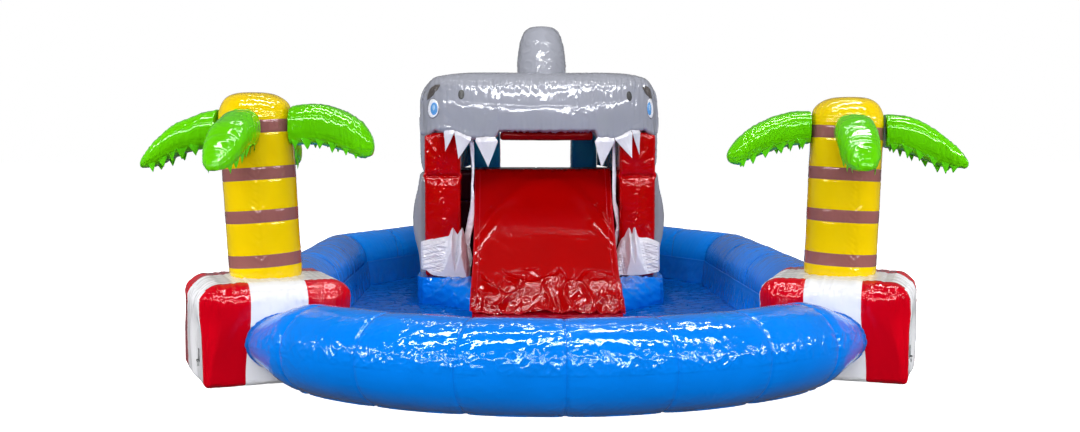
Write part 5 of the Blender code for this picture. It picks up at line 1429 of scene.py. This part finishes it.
def upper_jaw():
    hwid = [r[0] for r in JAW_X]
    front, under, top = (curve(hwid, [r[k] for r in JAW_X]) for k in (1, 2, 3))
    level = curve(*zip(*JAW_FACE))                       # foot of the face, without the step over the palate
    xs = ticks(-1.275, 1.275, 0.0115)
    yb = 1.63
    n = int(130 / FINE)
    rows, prm = [], None
    for x in xs:
        a = abs(x)
        f, b, t = float(front(a)), float(under(a)), float(top(a))
        d, h, e = yb - f, t - b, float(level(a))
        he = t - e
        sag = 0.10 * math.exp(-(x / 0.62) ** 2)          # the middle of the snout rolls over lower down
        prof = [(yb, b + 0.02), (f + 0.30 * d, b), (f + 0.045 * d, b + 0.018 * h), (f + 0.010 * d, 0.5 * (b + 0.12 * h) + 0.5 * (e + 0.12 * he)), (f, e + (0.40 - 0.35 * sag) * he),
                (f + 0.03 * d, e + (0.62 - 0.7 * sag) * he), (f + 0.13 * d, e + (0.84 - 0.5 * sag) * he), (f + 0.34 * d, e + (0.965 - 0.15 * sag) * he), (f + 0.62 * d, t), (yb, t - 0.01)]
        rows.append(catmull(prof, n))
    G = np.array(rows)                                    # (nx, n, 2)
    X = np.broadcast_to(xs[:, None], G.shape[:2])
    P = np.stack([X, G[..., 0], G[..., 1]], -1)
    Nn = grid_normals(P)
    ctr = np.array([0, 1.4, 2.15])
    if ((P - ctr) * Nn)[len(xs) // 2, n // 2].sum() < 0:
        Nn = -Nn
        flip = True
    else:
        flip = False
    k = np.linspace(0, 1, n)[None, :]
    Y, Z = P[..., 1], P[..., 2]
    t_, b_ = top(np.abs(xs))[:, None], under(np.abs(xs))[:, None]
    rel = (Z - b_) / (t_ - b_)
    s_prof = np.cumsum(np.linalg.norm(np.diff(P, axis=1, prepend=P[:, :1]), axis=2), axis=1)
    i_top = np.argmax(rel > 0.80, axis=1)
    s_top = s_prof[np.arange(len(xs)), i_top][:, None]
    i_low = np.array([int(np.argmin(np.abs(Y[i, :n // 3] - (Y[i].min() + 0.05 * (yb - Y[i].min()))))) for i in range(len(xs))])
    s_low = s_prof[np.arange(len(xs)), i_low][:, None]
    dt, dl = np.abs(s_prof - s_top), np.abs(s_prof - s_low)
    rel = np.clip(rel, 0, 1)
    h = -0.006 * np.exp(-(dt / 0.014) ** 2) - 0.006 * np.exp(-(dl / 0.014) ** 2)
    h = h + 0.017 * np.exp(-dt / 0.12) * fold(noise(X / 0.062, s_prof / 0.5, 41.0), 0.34) + 0.009 * np.exp(-dt / 0.06) * fold(noise(X / 0.030, s_prof / 0.3, 42.0), 0.3)
    h = h + 0.0035 * smooth(0.62, 0.80, rel) * fold(noise(X / 0.05, s_prof / 0.05, 46.0), 0.30)
    h = h + 0.021 * np.exp(-dl / 0.09) * fold(noise(X / 0.060, s_prof / 0.5, 43.0), 0.34) + 0.010 * np.exp(-dl / 0.05) * fold(noise(X / 0.030, s_prof / 0.3, 44.0), 0.3)
    # vertical panel seams of the snout
    for x0 in (-1.0, 1.0):
        d = np.abs(X - x0)
        h = h - 0.005 * np.exp(-(d / 0.010) ** 2) * smooth(0.05, 0.3, rel) + 0.004 * np.exp(-d / 0.05) * fold(noise(s_prof / 0.045, X / 0.2, 45 + x0), 0.3) * 0.7
    h = h + 0.008 * noise(X / 0.45, s_prof / 0.35, 47.0) + 0.0026 * noise(X / 0.14, s_prof / 0.12, 48.0)
    h = h + 0.0022 * smooth(-0.1, 0.3, noise(X / 0.5, s_prof / 0.4, 49.0)) * fold(noise(X / 0.10, s_prof / 0.08, 50.0), 0.16)
    h = h * smooth(0.0, 0.06, yb - Y)
    P = P + Nn * h[..., None]
    back = np.stack([np.repeat(xs[:, None], 3, 1), np.full((len(xs), 3), yb - 0.0008), np.stack([P[:, -1, 2] * (1 - q) + P[:, 0, 2] * q for q in (0.25, 0.5, 0.75)], 1)], -1)
    P = np.concatenate([P, back], 1)
    P[..., 0] += PALATE_X * np.clip((1 - np.abs(P[..., 0])) / 0.4, 0, 1)

    # rounded ends
    def endcap(ring, sgn):
        cen = ring.mean(0)
        out = []
        for q in (0.30, 0.60, 0.85, 1.0):
            sc = math.sqrt(max(1 - q * q, 0.0)) * 0.98 + 0.02
            e = cen + (ring - cen) * sc
            e[:, 0] = ring[:, 0] + sgn * 0.020 * q
            e[:, 1] = np.minimum(e[:, 1], yb - 0.001)
            out.append(e)
        return np.array(out)
    P = np.concatenate([endcap(P[0], -1)[::-1], P, endcap(P[-1], 1)])
    S = Shape()
    S.grid(P, close_v=True, cap0=True, cap1=True, flip=flip)
    ob = piece("upper_jaw_skin", S, [GREY], replaces=["upper_jaw"], sharp=60)
    me = ob.data
    JAW["tree"] = BVHTree.FromPolygons([tuple(v.co) for v in me.vertices], [tuple(p.vertices) for p in me.polygons])
    return ob


def patch(name, centre, rx, ry, tilt=0.0, lift=0.0012, mat=None, leaf=None, slot="vinyl_white", n=18, look=None):
    """A thin appliqué laid on the jaw's skin where the sight line to a layout point meets it."""
    tree = JAW["tree"]
    c, eye = Vector(np.array(centre) + SHIFT), Vector(np.array(STATION) + SHIFT)
    loc, nor, _, _ = tree.ray_cast(eye, (c - eye).normalized())
    if loc is None:
        loc, nor, _, _ = tree.find_nearest(c)
    nor = Vector(nor)
    if nor.dot(Vector((0, -1, 0.1))) < -0.3:
        nor = -nor
    up = Vector((0, 0, 1))
    e = up.cross(nor).normalized() if look is None else Vector(look).normalized()
    e = (e - nor * e.dot(nor)).normalized()
    f = nor.cross(e).normalized()
    if f.z < 0:
        f = -f
    ca, sa = math.cos(tilt), math.sin(tilt)
    ex, ey = e * ca + f * sa, f * ca - e * sa
    rings, count = 7, 40
    P = np.zeros((rings + 1, count, 3))
    for i in range(rings + 1):
        q = i / rings
        for j in range(count):
            a = 2 * math.pi * j / count
            x, y = rx * math.cos(a), ry * math.sin(a)
            if leaf:
                y *= max(0.0, 1 - abs(x / rx) ** 1.6) ** 0.35
                y += leaf * (1 - (x / rx) ** 2) * ry
            p = Vector(loc) + ex * (x * q) + ey * (y * q)
            l2, n2, _, _ = tree.find_nearest(p)
            n2 = Vector(n2)
            if n2.dot(nor) < 0:
                n2 = -n2
            P[i, j] = l2 + n2 * lift
    S = Shape()
    Ntop = np.broadcast_to(np.array(nor), P.shape)
    low = P - Ntop * 0.0024
    full = np.concatenate([P[:0], P, low[-1:]], 0)
    S.grid(full[1:], close_v=True, mat=0)
    cidx = S.verts(P[0].mean(0)[None])
    j = np.arange(count)
    S.faces(np.stack([np.full(count, cidx), j, (j + 1) % count], 1))
    ob = piece(name, S, [mat], keep_layout=False)
    me = ob.data
    fn = np.array([p.normal[:] for p in me.polygons])
    if float(fn[:count] @ np.array(nor) @ np.ones(count)) < 0:
        me.flip_normals()
    return ob


def face():
    for side, word in ((-1, "left"), (1, "right")):
        ex = (-1.154, 1.25, 2.097) if side < 0 else (1.190, 1.25, 2.099)
        kx, ky = (1.28, 0.93) if side < 0 else (1.0, 1.0)
        patch("eye_line_" + word, ex, 0.086 * kx, 0.118 * ky, tilt=0.10 * side, lift=0.0012, mat=INK_LINE)
        patch("eye_white_" + word, ex, 0.075 * kx, 0.107 * ky, tilt=0.10 * side, lift=0.0024, mat=INK_WHITE)
        iris = (ex[0] - side * 0.014, ex[1], ex[2] - 0.004)
        patch("iris_" + word, iris, 0.046 * kx, 0.072 * ky, tilt=0.10 * side, lift=0.0036, mat=INK_BLUE)
        patch("iris_light_" + word, (iris[0], iris[1], iris[2] + 0.012), 0.021, 0.032, tilt=0.10 * side, lift=0.0048, mat=INK_PALE)
        patch("brow_" + word, (-1.152, 1.2, 2.267) if side < 0 else (1.156, 1.2, 2.266), 0.136 if side < 0 else 0.108, 0.050, tilt=-side * 0.62, lift=0.0040, mat=INK_BROWN, leaf=0.25, slot="vinyl_grey")
        patch("nostril_" + word, (-0.836, 0.95, 2.234) if side < 0 else (0.929, 0.95, 2.218), 0.035, 0.052, lift=0.0014, mat=INK, slot="vinyl_grey")


def head_canopy():
    """One bent chamber: stations round the arch, a rounded loop through its thickness at each."""
    y0, y1 = 1.6312, 4.50
    a = np.radians(np.linspace(0, 90, 10))
    ro = [(1.287, 1.408), (1.312, 1.49), (1.322, 1.62), (1.325, 1.88)] + [(1.02 + 0.305 * math.cos(q), 2.172 + 0.305 * math.sin(q)) for q in a]
    ri = [(1.133, 1.408), (1.135, 1.50), (1.137, 1.65), (1.14, 1.90)] + [(0.94 + 0.20 * math.cos(q), 2.11 + 0.15 * math.sin(q)) for q in a]
    ro = ro + [(0.5, 2.478), (0.0, 2.480)]
    ri = ri + [(0.5, 2.262), (0.0, 2.262)]
    O = np.array(ro + [(-x, z) for x, z in ro[-2::-1]])
    I = np.array(ri + [(-x, z) for x, z in ri[-2::-1]])
    n = int(270 / FINE)
    O, I = catmull(O, n), catmull(I, n)
    # matching stations, so that the thickness stays square to the arch
    ny = int(130 / FINE)
    ys = np.linspace(y0 + 0.03, y1 - 0.05, ny)
    so = np.concatenate([[0], np.cumsum(np.linalg.norm(np.diff(O, axis=0), axis=1))])
    outer = np.stack([np.repeat(O[:, :1], ny, 1), np.broadcast_to(ys, (n, ny)), np.repeat(O[:, 1:], ny, 1)], -1)
    inner = np.stack([np.repeat(I[:, :1], ny, 1), np.broadcast_to(ys, (n, ny)), np.repeat(I[:, 1:], ny, 1)], -1)
    on = unit(outer - inner)
    SO = np.broadcast_to(so[:, None], (n, ny))
    Yg = outer[..., 1]
    seams = [y0 + (y1 - y0) * q for q in (0.25, 0.5, 0.75)]
    h = 0.006 * noise(SO / 0.4, Yg / 0.4, 51.0) + 0.0022 * fold(noise(SO / 0.12, Yg / 0.1, 52.0), 0.16)
    for kk, sy in enumerate(seams):
        d = np.abs(Yg - sy)
        h = h - 0.012 * np.exp(-(d / 0.018) ** 2) + 0.006 * np.exp(-d / 0.09) * fold(noise(SO / 0.05, d / 0.3, 53.0 + kk), 0.32)
    frac = ((Yg - y0) / ((y1 - y0) / 4)) % 1.0
    h = h + 0.014 * np.sin(math.pi * frac) ** 0.7 - 0.010
    de = np.minimum(Yg - y0, y1 - Yg)
    h = h - 0.022 * np.exp(-de / 0.035) + 0.006 * np.exp(-de / 0.10) * fold(noise(SO / 0.05, de / 0.3, 58.0), 0.32)
    h = np.where(Yg < y0 + 0.25, np.minimum(h, 0.0), h)
    outer = outer + on * h[..., None]
    outer[..., 2] = np.minimum(outer[..., 2], 2.4845)
    hi = 0.5 * h
    inner = inner - on * (np.minimum(hi, 0.0))[..., None]
    back = [outer[:, -1] * (1 - q) + inner[:, -1] * q + np.array([0, 0.05 * math.sin(math.pi * q) ** 0.7, 0]) for q in (0.12, 0.3, 0.5, 0.7, 0.88)]
    fr = [inner[:, 0] * (1 - q) + outer[:, 0] * q - np.array([0, 0.028 * math.sin(math.pi * q) ** 0.7, 0]) for q in (0.12, 0.3, 0.5, 0.7, 0.88)]
    P = np.concatenate([outer, np.stack(back, 1), inner[:, ::-1], np.stack(fr, 1)], 1)
    S = Shape()
    S.grid(P, close_v=True, cap0=True, cap1=True, flip=False)
    Nn = grid_normals(P, close_v=True)
    for sy in seams:
        j = int(np.argmin(np.abs(ys - sy)))
        tape(S, P[:, j], on[:, j], width=0.022, height=0.0016)
    piece("head_canopy_skin", S, [GREY, TAPE_GREY], replaces=["head_canopy"], sharp=60)


def dorsal_fin():
    zs = (2.485, 2.62, 2.80, 2.94, 3.02, 3.06)
    hx, ya, yb = (curve(zs, v) for v in ((0.270, 0.272, 0.256, 0.222, 0.178, 0.12), (1.70, 1.72, 1.80, 1.92, 2.03, 2.12), (2.62, 2.62, 2.60, 2.58, 2.55, 2.50)))
    z = np.concatenate([np.linspace(2.4855, 3.035, int(60 / FINE)), 3.035 + 0.030 * np.sin(np.linspace(0.15, 1, 9) * math.pi / 2)])
    shrink = np.where(z > 3.035, np.sqrt(np.clip(1 - ((z - 3.035) / 0.0302) ** 2, 0, 1)), 1.0)
    n = int(110 / FINE)
    a = np.linspace(0, 2 * math.pi, n, endpoint=False)
    Z, A = np.meshgrid(z, a, indexing="ij")
    HX = (hx(np.minimum(z, 3.04)) * shrink)[:, None]
    Ya, Yb = ya(np.minimum(z, 3.04))[:, None], yb(np.minimum(z, 3.04))[:, None]
    cy, hy = (Ya + Yb) / 2, (Yb - Ya) / 2 * shrink[:, None]
    ca, sa = np.cos(A), np.sin(A)
    h = 0.008 * noise(ca * 1.1 + 3, sa * 1.1, Z / 0.25) + 0.014 * np.exp(-(Z - 2.485) / 0.09) * fold(noise(A * 3.4, Z / 0.4, 61.0), 0.32)
    h = h + 0.0055 * fold(noise(A * 2.2, Z / 0.11, 62.0), 0.18) - 0.006 * np.exp(-(sa / 0.05) ** 2)
    h = h + 0.006 * np.exp(-np.abs(sa) / 0.25) * fold(noise(Z / 0.05, sa * 2, 63.0), 0.3)
    h = h * smooth(0, 0.08, HX)
    P = np.stack([0.04 + (HX + h) * ca, cy + (hy + h) * sa, Z], -1)
    S = Shape()
    S.grid(P, close_v=True, cap0=True, cap1=True, flip=True)
    piece("dorsal_fin_skin", S, [GREY], replaces=["dorsal_fin"])


TEETH = (  # left top corner, right top corner and tip, from left to right
    ((-1.025, 1.078, 1.846), (-0.918, 1.012, 1.838), (-1.007, 1.060, 1.640)),
    ((-0.910, 0.998, 1.838), (-0.738, 0.932, 1.768), (-0.867, 0.980, 1.560)),
    ((-0.688, 0.918, 1.757), (-0.452, 0.890, 1.757), (-0.555, 0.904, 1.474)),
    ((0.560, 0.890, 1.757), (0.775, 0.925, 1.757), (0.632, 0.904, 1.471)),
    ((0.783, 0.937, 1.768), (0.968, 1.012, 1.838), (0.960, 0.992, 1.569)),
    ((0.974, 1.022, 1.838), (1.062, 1.090, 1.846), (1.046, 1.075, 1.600)),
)


def tooth(index, top_a, top_b, tip):
    """A white flap: its strip along the top is sewn to the jaw, and the rest hangs below it."""
    a, b, c = (np.array(p) for p in (top_a, top_b, tip))
    a = a + [0, 0, -0.012]
    b = b + [0, 0, -0.012]
    n = 20
    along = unit(b - a)
    nrm = unit(np.cross(b - a, c - a))
    if nrm[1] > 0:
        nrm = -nrm
    seed = 110 + index
    v = np.linspace(0, 1, n + 1)
    V, U = np.meshgrid(v, v, indexing="ij")
    L = a + (c - a) * V[..., None]
    R = b + (c - b) * V[..., None]
    P = L + (R - L) * U[..., None]
    w = np.linalg.norm(b - a)
    bow = 0.012 * np.sin(math.pi * U) * (1 - V) + 0.010 * V ** 2
    wr = 0.004 * np.exp(-V / 0.25) * fold(noise(U * w / 0.035, V * 1.2, seed), 0.34) + 0.004 * noise(U * w / 0.08, V * 3, seed + 1)
    P = P + nrm * (bow + wr)[..., None]
    # the sewn lip lies on the jaw just above
    lips = []
    for q in range(n + 1):
        row = []
        for dz in (0.014, 0.007):
            loc, nor, _, _ = JAW["tree"].find_nearest(Vector(P[0, q] + SHIFT + [0, -0.004, dz]))
            nor = Vector(nor) if nor[1] < 0.2 else -Vector(nor)
            row.append(np.array(loc) - SHIFT + np.array(nor) * 0.0022)
        lips.append(row)
    lip = np.array(lips).transpose(1, 0, 2)
    lip[1] = 0.5 * lip[1] + 0.5 * (0.4 * lip[0] + 0.6 * P[0])
    P = np.concatenate([lip, P], 0)
    P[-1] = P[-1] + (np.linspace(-0.5, 0.5, n + 1)[:, None] * along * 0.003)
    S = Shape()
    probe = grid_normals(P)[n // 2, n // 2]
    shell(S, P if probe @ nrm > 0 else P[:, ::-1], 0.0022, 0)
    # the tooth takes the darker copy of the white, painted shade
    ob = piece("tooth_upper_%d_flap" % index, S, [WHITE_FLAP_PAINTED_SHADE], body=None, replaces=["tooth_upper_%d" % index], sharp=60)
    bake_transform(ob)


def platform():
    """The deck behind the slide, and the plain skirt that hangs from its front edge to the cushions. Both are in dark
    maroon, painted shade for the dark inside of the house; the skirt is a sheet hung where there is only shade.
    """
    boxy("platform_skin", (-1.0993, 1.6007, 1.080), (1.0993, 2.9995, 1.4275), 0.05, 0.020, MAROON_PAINTED_SHADE, 171, ["platform"], bulge=0.010, fixed=("x-", "x+", "y-", "y+", "z+"), seams=(-0.55, 0.0, 0.55))
    # the skirt: a dark sheet put where there is only shade below the deck
    z, x = np.linspace(1.082, 0.293, 60), ticks(-1.098, 1.098, 0.02)
    Z, X = np.meshgrid(z, x, indexing="ij")
    P = np.stack([X, 1.6026 + 0.0008 * noise(X / 0.12, Z / 0.3, 172.0), Z], -1)
    S = Shape()
    probe = grid_normals(P)[30, 8]
    shell(S, P if probe[1] < 0 else P[:, ::-1], 0.002)
    ob = piece("platform_painted_shade_skirt_sheet", S, [MAROON_PAINTED_SHADE])


def cabin_lining():
    """The lining under the roof, in dark maroon as painted shade for the dark cabin: a curtain down each side of the
    cabin, joined by the strip that they hang from.
    """
    y = ticks(1.634, 4.053, 0.035)
    path = poly([(-1.0, 1.4295), (-1.0, 2.2572), (1.0, 2.2572), (1.0, 1.4295)], 0.018, closed=False)
    S = Shape()
    P = np.empty((len(y), len(path), 3))
    for i, v in enumerate(y):
        half = 0.902 + (0.830 - 0.902) * (v - 1.632) / (4.055 - 1.632)
        hang = smooth(2.25, 1.9, path[:, 1])
        fold_in = 0.0015 * hang * (1 + np.sin(v / 0.045 + 0.8 * noise(v / 0.3, path[:, 1] / 0.6, 321.0)))
        P[i, :, 0] = path[:, 0] * (half - fold_in)
        P[i, :, 1] = v
        P[i, :, 2] = path[:, 1]
    shell(S, P, 0.002)
    ob = piece("cabin_lining_painted_shade_sheet", S, [MAROON_PAINTED_SHADE], replaces=["cabin_lining"])


def stairs():
    w = 1.0993
    boxy("stair_upper_skin", (-w, 3.0006, 0.0088), (w, 3.4995, 1.080), 0.05, 0.020, BLUE_WRINKLED, 201, ["stairs"], bulge=0.016, fixed=("x-", "x+", "y-"), seams=(-0.55, 0.0, 0.55))
    boxy("stair_middle_skin", (-w, 3.500, 0.0088), (w, 4.040, 0.720), 0.05, 0.020, BLUE_WRINKLED, 203, [], bulge=0.014, fixed=("x-", "x+", "y-"), seams=(-0.55, 0.0, 0.55))
    boxy("stair_lower_skin", (-0.42, 4.0405, 0.0088), (0.47, 4.580, 0.360), 0.05, 0.016, BLUE_WRINKLED, 205, [], bulge=0.014, fixed=("y-",))


# ================================================================ sleeve, zip, drain, anchors
def inflation_sleeve():
    cx, cz, r = 1.22, 0.185, 0.1555
    y0, y1 = 4.603, 5.150
    n, m = int(96 / FINE), int(60 / FINE)
    a = np.linspace(0, 2 * math.pi, n, endpoint=False)
    y = np.linspace(y0, y1, m)
    Y, A = np.meshgrid(y, a, indexing="ij")
    d = Y - y0
    h = 0.007 * np.exp(-d / 0.10) * fold(noise(A * 4.2, d / 0.4, 301.0), 0.34) + 0.004 * noise(A * 1.4, Y / 0.14, 302.0) + 0.004 * fold(noise(A * 1.8, Y / 0.07, 303.0), 0.2)
    tie = np.exp(-((Y - (y1 - 0.14)) / 0.018) ** 2)
    h = h - 0.012 * tie + 0.006 * np.exp(-np.abs(Y - (y1 - 0.14)) / 0.06) * fold(noise(A * 5.0, 1.0, 304.0), 0.34)
    h = h * smooth(0.0, 0.02, y1 - Y)
    R = r + h
    z = cz + R * np.sin(A)
    P = np.stack([cx + R * np.cos(A), Y, np.maximum(z, 0.0262)], -1)
    S = Shape()
    Nn = grid_normals(P, close_v=True)
    rad = np.stack([np.cos(A), 0 * A, np.sin(A)], -1)
    if (Nn * rad).sum() < 0:
        Nn = -Nn
    o = S.verts(P + Nn * 0.002)
    i = S.verts(P - Nn * 0.002)
    fo = grid_faces(m, n, close_v=True, base=o, flip=True)
    fi = grid_faces(m, n, close_v=True, base=i)
    S.faces(fo)
    S.faces(fi)
    j = np.arange(n)
    k = (j + 1) % n
    S.faces(np.stack([o + j, o + k, i + k, i + j], 1))
    e = (m - 1) * n
    S.faces(np.stack([o + e + j, i + e + j, i + e + k, o + e + k], 1))
    q = int(np.argmin(np.abs(y - (y1 - 0.14))))
    tape(S, P[q], Nn[q] , closed=True, width=0.026, height=0.004, mat=1)
    tape(S, P[-2], Nn[-2], closed=True, width=0.018, height=0.004, mat=2)
    ob = piece("inflation_sleeve_cloth", S, [BLUE_WRINKLED, WEB, TAPE_BLUE], replaces=["inflation_sleeve"], sharp=70)


def zip_pieces():
    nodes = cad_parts
    zx, yb = -1.250, 4.6005
    # teeth of the zip, on the tape
    S = Shape()
    zs = np.arange(0.458, 0.955, 0.006)
    for i, z in enumerate(zs):
        sx = -1 if i % 2 else 1
        lo = np.array([zx - (0.0045 if sx < 0 else 0.0008), yb + 0.0036, z - 0.0016])
        hi = np.array([zx + (0.0008 if sx < 0 else 0.0045), yb + 0.0043, z + 0.0016])
        c = [(lo[0], lo[1]), (hi[0], lo[1]), (hi[0], hi[1]), (lo[0], hi[1])]
        P = np.array([[(x, y, lo[2]) for x, y in c], [(x, y, hi[2]) for x, y in c]])
        S.grid(P, close_v=True, cap0=True, cap1=True, flip=True)
    piece("zip_teeth", S, [PLASTIC], sharp=30)
    nodes["zip_tape"].data.materials[0] = WEB
    nodes["zip_slider"].data.materials[0] = STEEL
    # flap
    w, top, low = 0.06, 1.095, 0.41
    xs, zz = np.linspace(-w, w, 17), np.linspace(top, low, 80)
    Z, X = np.meshgrid(zz, xs, indexing="ij")
    yf = yb + 0.0195
    P = np.stack([zx + X, yf + 0.0022 * noise(X / 0.06, Z / 0.12, 311.0) + 0.0016 * fold(noise(X / 0.08, Z / 0.05, 312.0), 0.2), Z], -1)
    S = Shape()
    probe = grid_normals(P)[40, 8]
    shell(S, P if probe[1] > 0 else P[:, ::-1], 0.0022)
    Nn = np.broadcast_to(np.array([0, 1.0, 0]), P.shape)
    for j in (1, 15):
        tape(S, P[:, j], Nn[:, j], width=0.010, height=0.0018)
    tape(S, P[-2], Nn[-2], width=0.010, height=0.0018)
    ob = piece("zip_flap_cloth", S, [GREY, TAPE_GREY], body="zip_flap", replaces=["zip_flap"], sharp=70)
    # the strip that the flap hangs from
    S = Shape()
    Z, X = np.meshgrid(np.linspace(1.135, 1.090, 9), np.linspace(-0.066, 0.066, 15), indexing="ij")
    P = np.stack([zx + X, np.interp(Z, (1.090, 1.100, 1.135), (yf - 0.0005, yf - 0.002, yb + 0.0012)), Z], -1)
    probe = grid_normals(P)[4, 7]
    shell(S, P if probe[1] > 0 else P[:, ::-1], 0.002)
    ob = piece("zip_flap_strip", S, [TAPE_GREY])


def drain():
    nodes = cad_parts
    nodes["drain_flange"].data.materials[0] = PLASTIC
    nodes["drain_cap"].data.materials[0] = PLASTIC
    # grip ribs on the cap
    S = Shape()
    cx, cy, z0 = 1.15, -2.55, 0.027
    for i in range(24):
        a = 2 * math.pi * (i + 0.5) / 24
        d, e = np.array([math.cos(a), math.sin(a)]), np.array([-math.sin(a), math.cos(a)])
        pts = []
        for z in (z0 + 0.0010, z0 + 0.0058):
            pts.append([(cx + d[0] * r + e[0] * w, cy + d[1] * r + e[1] * w, z) for r, w in ((0.0355, -0.0016), (0.0374, -0.0008), (0.0374, 0.0008), (0.0355, 0.0016))])
        S.grid(np.array(pts), close_v=True, cap0=True, cap1=True, flip=True)
    piece("drain_cap_ribs", S, [PLASTIC], body="drain_cap", sharp=30)


def anchor_rings():
    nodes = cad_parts
    for i in range(1, 5):
        nodes["anchor_strap_%d" % i].data.materials[0] = WEB
        if i < 3:
            side = -1 if i == 1 else 1
            c, u, t = block_frame(side)
            p, nrm, zb = c + HALF * u + 0.30 * t, u, 0.17
        else:
            side = -1 if i == 3 else 1
            p, nrm, zb = np.array([side * 1.25, 4.60, 0.0]), np.array([0, 1.0, 0]), (0.22 if side < 0 else 0.52)
        nrm = unit(nrm)
        e = np.array([-nrm[1], nrm[0], 0.0])
        p = p + 0.0005 * nrm
        path = []
        w = 0.026
        for k in range(7):
            path.append((w * (-1 + 2 * k / 6), 0.0))
        for k in range(1, 30):
            a = math.radians(15 - 210 * k / 30)
            path.append((w * 1.02 * math.cos(a), -0.016 + 0.024 * math.sin(a)))
        L = catmull(path, 90, closed=True)
        T = np.roll(L, -1, 0) - np.roll(L, 1, 0)
        T /= np.linalg.norm(T, axis=1)[:, None]
        b = np.linspace(0, 2 * math.pi, 16, endpoint=False)
        P = np.empty((len(L), 16, 3))
        for q in range(len(L)):
            du, dv = 0.003 * np.cos(b), 0.003 * np.sin(b)
            P[q] = p + nrm * (0.0105 + dv)[:, None] + e * (L[q, 0] - T[q, 1] * du)[:, None]
            P[q, :, 2] = zb + L[q, 1] + T[q, 0] * du
        S = Shape()
        S.grid(P, close_u=True, close_v=True)
        V = P.reshape(-1, 3)
        probe = grid_normals(P, True, True)
        ctr = P.mean(1, keepdims=True)
        if (probe * (P - ctr)).sum() < 0:
            S.f = [f[::-1] for f in S.f]
        piece("anchor_ring_%d_wire" % i, S, [STEEL], body="anchor_ring_%d" % i, replaces=["anchor_ring_%d" % i])
        # box of stitches that holds the strap's tab
        S = Shape()
        lines = [((-0.014, 0.030), (0.014, 0.030)), ((0.014, 0.030), (0.014, 0.078)), ((0.014, 0.078), (-0.014, 0.078)), ((-0.014, 0.078), (-0.014, 0.030)), ((-0.014, 0.030), (0.014, 0.078)), ((0.014, 0.030), (-0.014, 0.078))]
        for (xa, za), (xb, zc) in lines:
            t_ = np.linspace(0, 1, 9)
            pts = np.array([p + nrm * 0.0041 + e * (xa + (xb - xa) * q) + np.array([0, 0, zb + za + (zc - za) * q]) for q in t_])
            tape(S, pts, np.repeat(nrm[None], 9, 0), width=0.0016, height=0.0006, mat=0)
        piece("anchor_stitches_%d" % i, S, [stitched("thread_%d" % i, (0.02, 0.02, 0.022), (0.55, 0.55, 0.56), 0.004)])


# ================================================================ everything
front_tube()
for sd, wd in ((-1, "left"), (1, "right")):
    side_and_back(sd, wd)
    corner_block(sd, wd)
    palm(sd, wd)
    house_base(sd, wd)
    pillar(sd, wd)
    gum(sd, wd)
    side_wall(sd, wd)
    tooth_strip(sd, wd)
    x0, x1 = sorted((0.025 + sd * 0.475, sd * 0.825))
    # the left column takes the lighter copy of the teal, painted light
    boxy("rear_column_%s_skin" % wd, (x0, 4.06, 0.0088), (x1, 4.44, 2.13), 0.07, 0.016, TEAL_PAINTED_LIGHT if sd < 0 else TEAL, 151 + 5 * sd, ["rear_column_" + wd], bulge=0.018)
pool_sheets()
platform()
slide()
stairs()
upper_jaw()
face()
head_canopy()
cabin_lining()
# the palate takes the darker red, painted shade
boxy("palate_skin", (PALATE_X - 0.49, 1.06, 1.757), (PALATE_X + 0.49, 1.54, 1.8455), 0.025, 0.012, RED_PALATE_PAINTED_SHADE, 181, ["palate"], bulge=0.006, wr=0.002, fixed=("z+",))
dorsal_fin()
for number, corners in enumerate(TEETH):
    tooth(number + 1, *corners)
inflation_sleeve()
zip_pieces()
drain()
anchor_rings()
